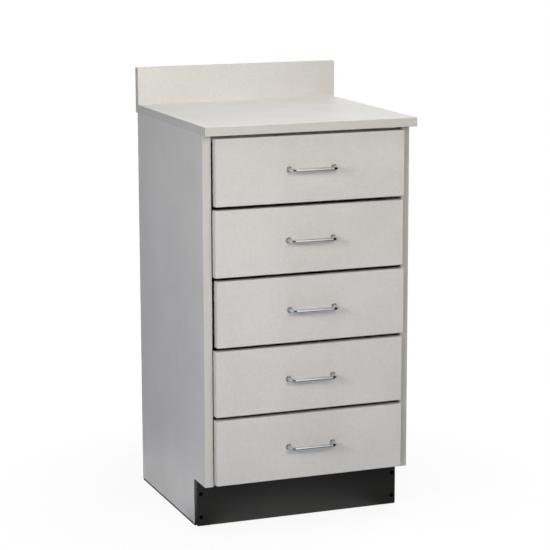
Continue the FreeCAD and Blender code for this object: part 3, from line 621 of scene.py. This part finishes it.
def toe_board():
    """The black kick plate, with its lower corners sawn off round."""
    low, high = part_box("kick_plate")
    outline = [(high.x, high.z), (low.x, high.z)]
    for x, side in ((low.x, 1), (high.x, -1)):
        turns = [QUARTER_TURN * step / TOE_STEPS for step in range(TOE_STEPS + 1)]
        outline += [
            (x + side * TOE_ROUND * (1 - math.cos(turn)), low.z + TOE_ROUND * (1 - math.sin(turn)))
            for turn in turns[::side]
        ]
    prism("toe_board", outline, "y", (low.y, high.y), {"-x": BLACK_BAND, "+x": BLACK_BAND}, KICK,
          KICK_EDGE, ["kick_plate"])


def carcass():
    """The boards that stand still. The rails and the backsplash are cut where screws sit in them."""
    side_panels()
    board("cabinet_floor", "bottom_panel", {"+z": WHITE, "-z": FACE, "+y": RAW, "+x": RAW, "-x": RAW},
          BAND, BAND_EDGE)
    board("cabinet_back", "back_panel", {"-y": WHITE, "+y": FACE}, RAW, BACK_EDGE)
    for end in ("front", "back"):
        rail = board(f"{end}_rail", f"top_rail_{end}", {"+z": WHITE, "-z": WHITE, "+x": RAW, "-x": RAW},
                     WHITE_BAND, RAIL_EDGE)
        sink_screws(rail, "worktop_screws")
    board("top_board", "worktop", {"+z": TOP, "-z": WHITE, "+y": RAW}, BAND, TOP_EDGE)
    splash = board("splash_board", "backsplash", {"-y": TOP, "+y": WHITE, "-z": RAW}, BAND, TOP_EDGE)
    sink_screws(splash, "worktop_screws")
    toe_board()


# Drawers


def drawer_boards(number):
    """A drawer's front, and the walls and floor of its box."""
    body = f"drawer_{number}"
    board(f"front_{number}", f"drawer_{number}_front", {"-y": FACE, "+y": WHITE}, BAND, FRONT_EDGE,
          body)
    walls = {"+z": WHITE_BAND, "-z": RAW, "+y": RAW, "-y": RAW}
    ends = {"+z": WHITE_BAND, "-z": RAW}
    for piece, part, skins, edge in (
        ("left_wall", "side_left", walls, BOX_EDGE), ("right_wall", "side_right", walls, BOX_EDGE),
        ("ends", "ends", ends, BOX_EDGE), ("floor", "bottom", {}, BOX_FLOOR_EDGE),
    ):
        dressed_copy(f"box_{number}_{piece}", f"drawer_{number}_box_{part}", skins, WHITE, edge,
                     body)


# Pulls


def leg_profile(foot_radius):
    """Distance from the drawer front and radius along a leg: a rim, then a hollow flare to the rod."""
    steps = [
        (0.0, foot_radius),
        (FOOT_RIM * (1 - RIM_ROUND), foot_radius),
        (FOOT_RIM, foot_radius - FOOT_RIM * RIM_ROUND),
    ]
    for index in range(1, FLARE_STEPS + 1):
        share = index / FLARE_STEPS
        hollow = (1 - share) ** FLARE_HOLLOW
        steps.append((FOOT_RIM + FOOT_TAPER * share, ROD_RADIUS + (foot_radius - ROD_RADIUS) * hollow))
    return steps


def rod_ring(at, ahead, radius):
    """A circle of points around a rod that runs level."""
    up = Vector((0, 0, 1))
    across = ahead.cross(up)
    turns = [math.tau * step / ROD_SIDES for step in range(ROD_SIDES)]
    return [at + radius * (math.cos(turn) * across + math.sin(turn) * up) for turn in turns]


def pull(number):
    """A wire pull: one bright rod bent twice, with a flared foot pressed on each end in rougher chromium
    drawn darker as painted shade.
    """
    cad_node = f"drawer_{number}_pull"
    low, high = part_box(cad_node)
    foot_radius = (high.z - low.z) / 2
    middle_z = (high.z + low.z) / 2
    left, right = low.x + foot_radius, high.x - foot_radius
    stations = [(Vector((left, high.y - out, middle_z)), Vector((0, -1, 0)), radius)
                for out, radius in leg_profile(foot_radius)]
    corner = Vector((left + ROD_BEND, low.y + ROD_RADIUS + ROD_BEND, middle_z))
    for index in range(BEND_STEPS + 1):
        angle = QUARTER_TURN * index / BEND_STEPS
        at = corner + ROD_BEND * Vector((-math.cos(angle), -math.sin(angle), 0))
        stations.append((at, Vector((math.sin(angle), -math.cos(angle), 0)), ROD_RADIUS))
    for at, ahead, radius in stations[::-1]:
        mirrored = Vector((left + right - at.x, at.y, at.z))
        stations.append((mirrored, Vector((ahead.x, -ahead.y, 0)), radius))
    built = tube([rod_ring(*station) for station in stations])
    feet_from = high.y - FOOT_RIM - FOOT_TAPER
    for face in built.faces:
        face.smooth = len(face.verts) == 4
        face.material_index = int(face.calc_center_median().y > feet_from)
    to_object(f"pull_{number}", built, [CHROME, SHADED_FOOT_CHROME], f"drawer_{number}", [cad_node])


# Screws

ScrewPlace = namedtuple("ScrewPlace", "seat outward head_radius shank_length")


def solids_of(cad_node):
    """The corner points of each separate solid of a CAD node, in the order of their places."""
    merged = merged_copy(cad_node)
    left_over = set(merged.verts)
    solids = []
    while left_over:
        front = [left_over.pop()]
        solid = []
        while front:
            corner = front.pop()
            solid.append(corner.co.copy())
            for edge in corner.link_edges:
                other = edge.other_vert(corner)
                if other in left_over:
                    left_over.remove(other)
                    front.append(other)
        solids.append(solid)
    merged.free()
    return sorted(solids, key=lambda points: [
        round(sum(point[axis] for point in points), 6) for axis in range(3)
    ])


def screw_place(points, head_height):
    """Where a screw's head is seated, the way its head looks, and its head's and shank's sizes."""
    low, high = box_of(points)
    middle = (low + high) / 2
    along = max(range(3), key=lambda axis: high[axis] - low[axis])
    across = [axis for axis in range(3) if axis != along]

    def girth(end):
        """The screw's largest radius near one of its ends."""
        near = [point - middle for point in points if abs(point[along] - end) < head_height * NEAR_END]
        return max((math.hypot(*(spoke[axis] for axis in across)) for spoke in near), default=0)

    looks_up = girth(high[along]) > girth(low[along])
    outward = Vector((0, 0, 0))
    outward[along] = 1 if looks_up else -1
    seat = middle.copy()
    seat[along] = high[along] - head_height if looks_up else low[along] + head_height
    head_radius = max(high[axis] - low[axis] for axis in across) / 2
    return ScrewPlace(seat, outward, head_radius, high[along] - low[along] - head_height)


def screw_tree():
    """A tree that sets a screw on each point: a thin washer rim, a domed head with a cross recess,
    and a threaded shank that ends in a point. Each screw's recess is turned at random."""
    tree = bpy.data.node_groups.new("driven screws", "GeometryNodeTree")
    face = tree.interface
    face.new_socket("Geometry", in_out="INPUT", socket_type="NodeSocketGeometry")
    for name in SCREW_SIZES:
        face.new_socket(name, in_out="INPUT", socket_type="NodeSocketFloat")
    face.new_socket("Seed", in_out="INPUT", socket_type="NodeSocketInt")
    face.new_socket("Steel", in_out="INPUT", socket_type="NodeSocketMaterial")
    face.new_socket("Geometry", in_out="OUTPUT", socket_type="NodeSocketGeometry")
    given = node(tree, "NodeGroupInput").outputs

    def times(*values):
        return maths(tree, "MULTIPLY", *values)

    def joined(*geometries):
        join = node(tree, "GeometryNodeJoinGeometry")
        for geometry in geometries:
            tree.links.new(geometry, join.inputs[0])
        return join.outputs[0]

    def turned(count, sides, height, radius):
        """A turned form: rings at a height and a radius that each follow from the ring's share."""
        share = maths(tree, "DIVIDE", node(tree, "GeometryNodeInputIndex").outputs[0], count - 1.0)
        line = node(tree, "GeometryNodeMeshLine", {"Count": count})
        curve = node(tree, "GeometryNodeMeshToCurve", {"Mesh": line.outputs[0]})
        place = node(tree, "ShaderNodeCombineXYZ", {"Z": height(share)})
        moved = node(tree, "GeometryNodeSetPosition", {
            "Geometry": curve.outputs[0], "Position": place.outputs[0],
        })
        ring = node(tree, "GeometryNodeCurvePrimitiveCircle", {"Resolution": sides, "Radius": 1.0})
        return node(tree, "GeometryNodeCurveToMesh", {
            "Curve": moved.outputs[0], "Profile Curve": ring.outputs[0], "Scale": radius(share),
            "Fill Caps": True,
        }).outputs[0]

    def dome_height(share):
        return times(given["Head height"], maths(tree, "SINE", times(share, QUARTER_TURN)))

    def dome_radius(share):
        fall = maths(tree, "COSINE", times(share, QUARTER_TURN * DOME_TURN))
        return times(given["Head radius"], maths(tree, "POWER", fall, DOME_POWER))

    def rim_height(share):
        return times(given["Washer height"], share)

    def rim_radius(share):
        rounded = times(given["Washer height"], maths(tree, "POWER", share, RIM_POWER))
        return maths(tree, "SUBTRACT", given["Washer radius"], rounded)

    def shank_height(share):
        return times(given["Shank length"], times(share, -1.0))

    def shank_radius(share):
        tip = maths(tree, "MINIMUM", 1.0, times(maths(tree, "SUBTRACT", TIP_END, share), TIP_SLOPE))
        turns = maths(tree, "DIVIDE", given["Shank length"], given["Thread pitch"])
        ridge = maths(tree, "PINGPONG", times(share, turns), 0.5)
        thread = maths(tree, "ADD", CORE_SHARE, times(ridge, RIDGE_SHARE))
        return times(times(given["Shank radius"], tip), thread)

    def blade(long_side, short_side):
        """One arm of the cross, which cuts down from the top of the head."""
        size = node(tree, "ShaderNodeCombineXYZ", {
            "X": given[long_side], "Y": given[short_side], "Z": times(given["Recess depth"], 2.0),
        })
        cube = node(tree, "GeometryNodeMeshCube", {"Size": size.outputs[0]})
        lift = node(tree, "ShaderNodeCombineXYZ", {"Z": given["Head height"]})
        return node(tree, "GeometryNodeTransform", {
            "Geometry": cube.outputs[0], "Translation": lift.outputs[0],
        }).outputs[0]

    head = turned(HEAD_RINGS, HEAD_SIDES, dome_height, dome_radius)
    rim = turned(RIM_RINGS, HEAD_SIDES, rim_height, rim_radius)
    shank = turned(SHANK_RINGS, SHANK_SIDES, shank_height, shank_radius)
    cross = joined(blade("Recess length", "Recess width"), blade("Recess width", "Recess length"))
    cut = node(tree, "GeometryNodeMeshBoolean", {"Mesh 1": head, "Mesh 2": cross},
               operation="DIFFERENCE", solver="EXACT")
    whole = joined(cut.outputs[0], rim, shank)
    # The sockets of the random node that hold a single number
    float_max, float_value = 3, 1
    spin = node(tree, "FunctionNodeRandomValue", {"Seed": given["Seed"], float_max: math.tau},
                data_type="FLOAT").outputs[float_value]
    spin_turn = node(tree, "ShaderNodeCombineXYZ", {"Z": spin})
    outward = node(tree, "GeometryNodeInputNamedAttribute", {"Name": "outward"}, data_type="FLOAT_VECTOR")
    aligned = node(tree, "FunctionNodeAlignRotationToVector", {"Vector": outward.outputs[0]}, axis="Z")
    as_turn = node(tree, "FunctionNodeEulerToRotation", {0: spin_turn.outputs[0]})
    both = node(tree, "FunctionNodeRotateRotation", {
        "Rotation": aligned.outputs[0], "Rotate By": as_turn.outputs[0],
    }, rotation_space="LOCAL")
    points = node(tree, "GeometryNodeMeshToPoints", {"Mesh": given["Geometry"]})
    copies = node(tree, "GeometryNodeInstanceOnPoints", {
        "Points": points.outputs[0], "Instance": whole, "Rotation": both.outputs[0],
    })
    real = node(tree, "GeometryNodeRealizeInstances", {"Geometry": copies.outputs[0]})
    clad = node(tree, "GeometryNodeSetMaterial", {"Geometry": real.outputs[0], "Material": given["Steel"]})
    node(tree, "NodeGroupOutput", {"Geometry": clad.outputs[0]})
    return tree


def screws_at(places, sizes, steel, seed):
    """The mesh of one kind of screw, set on its places by the screw tree."""
    points = bpy.data.meshes.new("screw seats")
    points.from_pydata([place.seat for place in places], [], [])
    outward = points.attributes.new("outward", "FLOAT_VECTOR", "POINT")
    for index, place in enumerate(places):
        outward.data[index].vector = place.outward
    holder = in_scene("screw seats", points)
    driven = holder.modifiers.new("driven screws", "NODES")
    driven.node_group = SCREW_TREE
    values = {**sizes, "Seed": seed, "Steel": steel}
    for socket in SCREW_TREE.interface.items_tree:
        if socket.in_out == "INPUT" and socket.name in values:
            driven[socket.identifier] = values[socket.name]
    mesh = evaluated_mesh(holder)
    discard(holder)
    return mesh


def screw_piece(name, cad_node, body, steel, seed):
    """All the screws of a CAD node, as one piece. Each size of head has its own form."""
    built = bmesh.new()
    kinds = {}
    for points in solids_of(cad_node):
        radius = screw_place(points, PAN_HEAD).head_radius
        head = WASHER_HEAD if radius > WASHER_FROM else PAN_HEAD if radius < DOME_FROM else DOME_HEAD
        place = screw_place(points, head)
        kind = (head, round(place.head_radius, 5), round(place.shank_length, 5))
        kinds.setdefault(kind, []).append(place)
    for (head, radius, length), places in kinds.items():
        washer = head == WASHER_HEAD
        button = radius * WASHER_BUTTON_SHARE if washer else radius
        mesh = screws_at(places, {
            "Head radius": button,
            "Head height": head,
            "Shank radius": SHANK_RADIUS,
            "Shank length": length,
            "Thread pitch": THREAD_PITCH,
            "Washer radius": radius,
            "Washer height": WASHER_RIM if washer else PLAIN_RIM,
            "Recess length": button * RECESS_LONG,
            "Recess width": button * RECESS_WIDE,
            "Recess depth": head * RECESS_DEEP,
        }, steel, seed)
        built.from_mesh(mesh)
        bpy.data.meshes.remove(mesh)
    bmesh.ops.recalc_face_normals(built, faces=built.faces)
    smooth_with_sharp_edges(built)
    to_object(name, built, [steel], body, [cad_node])


def sink_screws(piece, cad_node):
    """Cuts into a board the holes that its countersunk screws fill."""
    board_data = bmesh.new()
    board_data.from_mesh(piece.data)
    holed = cut_away(board_data, merged_copy(cad_node), piece.data.materials)
    solid, piece.data = piece.data, holed
    bpy.data.meshes.remove(solid)


def flat_head_piece(name, cad_node, body, steel):
    """Countersunk screws, as the CAD has them, with a cross recess in each flat head."""
    crosses = bmesh.new()
    for points in solids_of(cad_node):
        place = screw_place(points, FLAT_HEAD)
        top = Matrix.Translation(place.seat + place.outward * FLAT_HEAD)
        turn = place.outward.to_track_quat("Z", "Y").to_matrix().to_4x4()
        long_side, short_side = place.head_radius * RECESS_LONG, place.head_radius * FLAT_RECESS_WIDE
        for sides in ((long_side, short_side), (short_side, long_side)):
            size = Matrix.Diagonal((*sides, FLAT_HEAD * FLAT_RECESS_DEEP, 1))
            bmesh.ops.create_cube(crosses, size=1.0, matrix=top @ turn @ size)
    mesh = cut_away(merged_copy(cad_node), crosses, [steel])
    shaped = bmesh.new()
    shaped.from_mesh(mesh)
    bpy.data.meshes.remove(mesh)
    smooth_with_sharp_edges(shaped)
    to_object(name, shaped, [steel], body, [cad_node])


# Slides


def rounded_line(corners, radius):
    """A line of points with each inner corner turned into an arc."""
    corners = [Vector(corner) for corner in corners]
    line = [corners[0]]
    for before, corner, after in zip(corners, corners[1:], corners[2:]):
        back, ahead = (before - corner).normalized(), (after - corner).normalized()
        half_turn = back.angle(ahead) / 2
        reach = min(radius / math.tan(half_turn), (before - corner).length / 2, (after - corner).length / 2)
        centre = corner + (back + ahead).normalized() * reach / math.cos(half_turn)
        first, last = corner + back * reach - centre, corner + ahead * reach - centre
        for step in range(ARC_STEPS + 1):
            line.append(centre + first.slerp(last, step / ARC_STEPS) * first.length)
    line.append(corners[-1])
    return line


def strip_outline(line, thickness):
    """The outline of sheet steel bent along a line."""
    sides = ([], [])
    for index, point in enumerate(line):
        ahead = (line[min(index + 1, len(line) - 1)] - line[max(index - 1, 0)]).normalized()
        across = Vector((-ahead.y, ahead.x)) * thickness / 2
        sides[0].append(point + across)
        sides[1].append(point - across)
    return sides[0] + sides[1][::-1]


def slot_cutter(places, length, height, depth):
    """Round-ended slots that cut through a web, at distances along y."""
    built = bmesh.new()
    half_circle = [math.pi * step / (SLOT_STEPS - 1) for step in range(SLOT_STEPS)]
    ends = [(1, turn) for turn in half_circle] + [(-1, turn + math.pi) for turn in half_circle]
    reach = (length - height) / 2
    for place in places:
        add_tube(built, [[
            (x, place + reach * end + height / 2 * math.sin(turn), height / 2 * math.cos(turn))
            for end, turn in ends
        ] for x in (-depth, depth)])
    bmesh.ops.recalc_face_normals(built, faces=built.faces)
    return built


def member_mesh(width, half_height, length, slots):
    """One roll-formed member: a web with two pressed beads, flanges with rounded bends and tips
    turned slightly in, and slots along the web. Depth counts from the back of the web."""
    middle = SLIDE_STEEL_THICK / 2
    edge = half_height - middle
    top_half = [
        (middle, BEAD_AT - BEAD_HALF - BEAD_RAMP), (middle + BEAD_DEEP, BEAD_AT - BEAD_HALF),
        (middle + BEAD_DEEP, BEAD_AT + BEAD_HALF), (middle, BEAD_AT + BEAD_HALF + BEAD_RAMP),
        (middle, edge), (width - TIP_TURN, edge), (width - middle / 2, edge - TIP_DROP),
    ]
    bottom_half = [(depth, -height) for depth, height in reversed(top_half)]
    profile = strip_outline(rounded_line(bottom_half + top_half, SLIDE_BEND), SLIDE_STEEL_THICK)
    blank = tube([[(point.x, y, point.y) for point in profile] for y in (0.0, length)])
    places = [length * share for share in slots]
    cutter = slot_cutter(places, SLOT_LONG, SLOT_HIGH, SLIDE_STEEL_THICK * 2)
    return cut_away(blank, cutter, [])


def slide_piece(name, cad_node, body, slots, web_inward):
    """The members of a CAD node, left and right, as one piece."""
    built = bmesh.new()
    member = None
    for points in solids_of(cad_node):
        low, high = box_of(points)
        if member is None:
            member = member_mesh(high.x - low.x, (high.z - low.z) / 2, high.y - low.y, slots)
        on_left = low.x + high.x < 0
        web_at_low = on_left != web_inward
        flip = 1 if web_at_low else -1
        start = Vector((low.x if web_at_low else high.x, low.y, (low.z + high.z) / 2))
        placed = bmesh.new()
        placed.from_mesh(member)
        placed.transform(Matrix.Translation(start) @ Matrix.Diagonal((flip, 1, 1, 1)))
        if flip < 0:
            bmesh.ops.reverse_faces(placed, faces=placed.faces)
        copy = bpy.data.meshes.new("member")
        placed.to_mesh(copy)
        placed.free()
        built.from_mesh(copy)
        bpy.data.meshes.remove(copy)
    smooth_with_sharp_edges(built)
    to_object(name, built, [SLIDE_STEEL], body, [cad_node])


# The pieces


def give(material, name):
    """A material for a CAD node that shows as it is."""
    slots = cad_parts[name].data.materials
    slots.clear()
    slots.append(material)


SCREW_TREE = screw_tree()
carcass()
for drawer in DRAWERS:
    drawer_boards(drawer)
give(STRIP, "floor_strips")
give(BEECH, "carcass_dowels")
flat_head_piece("board_screws", "worktop_screws", "cabinet", SCREW_STEEL)
screw_piece("toe_board_screws", "kick_plate_screws", "cabinet", BLACK_STEEL, 3)
screw_piece("cabinet_slide_screws", "slide_cabinet_screws", "cabinet", SCREW_STEEL, 5)
slide_piece("cabinet_slide_members", "slide_cabinet_members", "cabinet", OUTER_SLOTS, False)
for drawer in DRAWERS:
    slide_piece(f"middle_slide_{drawer}", f"slide_{drawer}_middle_members", f"slide_{drawer}",
                MIDDLE_SLOTS, False)
    slide_piece(f"drawer_slide_{drawer}", f"drawer_{drawer}_slide_members", f"drawer_{drawer}",
                INNER_SLOTS, True)
    screw_piece(f"drawer_screws_{drawer}", f"drawer_{drawer}_screws", f"drawer_{drawer}",
                SCREW_STEEL, 10 + drawer)
    pull(drawer)


# Floor, light and camera


def flat_stage(name, corners, faces, material):
    """A sheet of the studio, which isn't part of the cabinet."""
    mesh = bpy.data.meshes.new(name)
    mesh.from_pydata(corners, [], faces)
    mesh.materials.append(material)
    sheet = in_scene(name, mesh)
    return sheet


def studio_floor():
    """A pale grey painted floor. To the camera and in mirrors it shows as the white backdrop, with
    a part of the cabinet's soft shadow close to its foot."""
    material, tree = new_material("painted studio floor")
    place = object_place(tree)
    grey = tint(tree, noise(tree, place, size_mm=400, detail=2.0), FLOOR_LIGHT, FLOOR_DARK)
    seen = node(tree, "ShaderNodeLightPath").outputs["Is Camera Ray"]
    paint = node(tree, "ShaderNodeBsdfDiffuse", {"Color": mix_colours(tree, seen, grey, PURE_WHITE)})
    shine = node(tree, "ShaderNodeEmission", {"Color": PURE_WHITE, "Strength": 1.0})
    away = node(tree, "ShaderNodeVectorMath", {0: place}, operation="LENGTH").outputs["Value"]
    share = map_range(tree, away, (SHADOW_NEAR, SHADOW_FAR), (1 - SHADOW_SHARE, 1.0),
                      interpolation_type="SMOOTHSTEP")
    factor = maths(tree, "MULTIPLY", seen_or_mirrored(tree), share)
    finish_material(material, node(tree, "ShaderNodeMixShader", {
        0: factor, 1: paint.outputs[0], 2: shine.outputs[0],
    }))
    corners = [
        (-FLOOR_HALF, -FLOOR_HALF, 0), (FLOOR_HALF, -FLOOR_HALF, 0),
        (FLOOR_HALF, FLOOR_HALF, 0), (-FLOOR_HALF, FLOOR_HALF, 0),
    ]
    flat_stage("studio_floor", corners, [(0, 1, 2, 3)], material)


def studio_world():
    """Weak, even and slightly cool light all round; the camera and what metal mirrors see the white
    backdrop instead."""
    world = bpy.data.worlds.new("studio")
    bpy.context.scene.world = world
    world.use_nodes = True
    tree = world.node_tree
    tree.nodes.clear()
    fill = node(tree, "ShaderNodeBackground", {"Color": linear(FILL_COLOUR), "Strength": FILL_LEVEL})
    backdrop = node(tree, "ShaderNodeBackground", {"Color": PURE_WHITE, "Strength": 1.0})
    mixed = node(tree, "ShaderNodeMixShader", {
        0: seen_or_mirrored(tree), 1: fill.outputs[0], 2: backdrop.outputs[0],
    })
    node(tree, "ShaderNodeOutputWorld", {"Surface": mixed.outputs[0]})


def mirror_only(name, near_edge, far_edge, colour, glow):
    """A glowing sheet between two lines of points, stood outside the picture, so that bright metal shows
    painted reflections, darker and brighter lines. It shows only in mirrors and takes no light from
    anything."""
    material, tree = new_material(f"painted_reflection {name}")
    tone = node(tree, "ShaderNodeEmission", {"Color": linear(colour), "Strength": glow})
    count = len(near_edge)
    bays = [(step, step + 1, count + step + 1, count + step) for step in range(count - 1)]
    sheet = flat_stage(name, near_edge + far_edge, bays, finish_material(material, tone))
    sheet.visible_camera = False
    sheet.visible_diffuse = False
    sheet.visible_transmission = False
    sheet.visible_shadow = False


def directions(turns):
    """Level directions from the cabinet, between two turns to the right of its front."""
    start, stop = turns
    steps = max(2, round((stop - start) / WALL_STEP))
    angles = [math.radians(start + (stop - start) * step / steps) for step in range(steps + 1)]
    return [Vector((math.sin(angle), -math.cos(angle), 0)) for angle in angles]


def paper_wall(name, turns, heights, colour, radius=WALL_RADIUS, glow=1.0):
    """A stretch of glowing sheet round the cabinet, seen only in mirrors: a painted reflection of a wall,
    and with a glow above white a painted highlight.
    """
    low_edge, high_edge = (
        [way * radius + Vector((0, 0, height)) for way in directions(turns)] for height in heights
    )
    mirror_only(name, low_edge, high_edge, colour, glow)


def floor_paper(name, turns, reach, colour, layer=1):
    """A glowing sheet just above the floor, seen only in mirrors, from one distance to another: the floor's
    painted reflection.
    """
    rise = Vector((0, 0, PAPER_RISE * layer))
    near_edge, far_edge = ([way * distance + rise for way in directions(turns)] for distance in reach)
    mirror_only(name, near_edge, far_edge, colour, 1.0)


def mirror_sheets():
    """Glowing sheets that only bright metal mirrors, painted in its reflections: a cream wall ahead under a
    brighter cream sheet, and another brighter cream sheet on the left, which paint the lamps' highlights;
    tall black sheets on both sides and grey behind on the left. On the floor the painted reflection is
    grey-blue in front and on the left, black on the right, grey behind on the left, and dark round the
    cabinet's foot as painted shadow."""
    paper_wall("back_left_wall", BEHIND_LEFT, (0.0, BEHIND_TOP), MIRRORED_BACK)
    paper_wall("left_wall", LEFT, (0.0, BLACK_TOP), MIRRORED_BLACK)
    # Painted highlight of the side lamp, seen only in metal
    paper_wall("left_highlight_sheet", LEFT_HIGHLIGHT, LEFT_HIGHLIGHT_HEIGHTS, MIRRORED_CREAM, LEFT_HIGHLIGHT_RADIUS, HIGHLIGHT_GLOW)
    # Painted reflection of a cream wall ahead, and above it the front lamp's painted highlight
    paper_wall("front_wall", AHEAD, (0.0, FRONT_WALL_TOP), MIRRORED_CREAM, glow=WALL_GLOW)
    paper_wall("front_highlight_sheet", AHEAD, (FRONT_WALL_TOP, FRONT_HIGHLIGHT_TOP), MIRRORED_CREAM, glow=HIGHLIGHT_GLOW)
    paper_wall("right_wall", RIGHT, (0.0, BLACK_TOP), MIRRORED_BLACK)
    floor_paper("back_left_paper", BEHIND_LEFT, (BEHIND_PAPER_FROM, WALL_RADIUS), MIRRORED_BACK)
    floor_paper("front_paper", LEFT_AND_AHEAD, (PAPER_FROM, WALL_RADIUS), MIRRORED_FLOOR)
    floor_paper("right_paper", RIGHT, (PAPER_FROM, WALL_RADIUS), MIRRORED_BLACK)
    # Painted shadow of the cabinet on the floor, seen only in mirrors
    floor_paper("foot_shade_sheet", FOOT_RING, (FOOT_PAPER_FROM, PAPER_FROM), MIRRORED_FOOT_SHADE, layer=2)


def soft_box(name, turn, height, distance, size, watts, colour, mirrored=False):
    """A rectangular soft light that faces the cabinet, so many degrees to the right of its front
    and above its middle. Most aren't mirrored, because they would blow out the bright pulls."""
    lamp = bpy.data.lights.new(name, "AREA")
    lamp.shape = "RECTANGLE"
    lamp.size, lamp.size_y = size
    lamp.energy = watts
    lamp.color = linear(colour)[:3]
    light = in_scene(name, lamp)
    light.visible_glossy = mirrored
    turn, height = math.radians(turn), math.radians(height)
    way = Vector((math.sin(turn) * math.cos(height), -math.cos(turn) * math.cos(height), math.sin(height)))
    light.location = LIT_POINT + way * distance
    light.rotation_euler = (-way).to_track_quat("-Z", "Y").to_euler()


def soft_boxes():
    """The lamps: two on the left, one ahead, one above, and one behind on the right."""
    soft_box("side_light", turn=-63, height=17, distance=3.1, size=(0.9, 0.9), watts=44, colour="#FFFDFF")
    soft_box("left_light", turn=-34, height=14, distance=3.3, size=(1.3, 1.1), watts=24, colour="#F6F9FF")
    soft_box("front_light", turn=4, height=24, distance=3.1, size=(1.6, 1.1), watts=39, colour="#FFF6E6")
    soft_box("top_light", turn=14, height=84, distance=2.2, size=(1.4, 1.4), watts=32, colour="#F9FBFF")
    soft_box("back_light", turn=128, height=24, distance=3.6, size=(1.8, 1.6), watts=40, colour="#FFFFFF",
             mirrored=True)


def photo_camera():
    """The camera of the photograph: its turn to the right, its dip and its slight roll."""
    camera = bpy.data.cameras.new("photo camera")
    camera.sensor_width = SENSOR_MM
    camera.lens = FOCAL_PX / PICTURE_PX * SENSOR_MM
    camera.clip_end = CAMERA_REACH
    holder = in_scene("photo_camera", camera)
    turn = Matrix.Rotation(math.radians(-CAMERA_TURN), 4, "Z")
    dip = Matrix.Rotation(math.radians(90 - CAMERA_DIP), 4, "X")
    roll = Matrix.Rotation(math.radians(-CAMERA_ROLL), 4, "Z")
    holder.matrix_world = Matrix.Translation(CAMERA_AT) @ turn @ dip @ roll
    bpy.context.scene.camera = holder


studio_floor()
studio_world()
mirror_sheets()
soft_boxes()
photo_camera()
bpy.context.scene.view_settings.view_transform = "Standard"
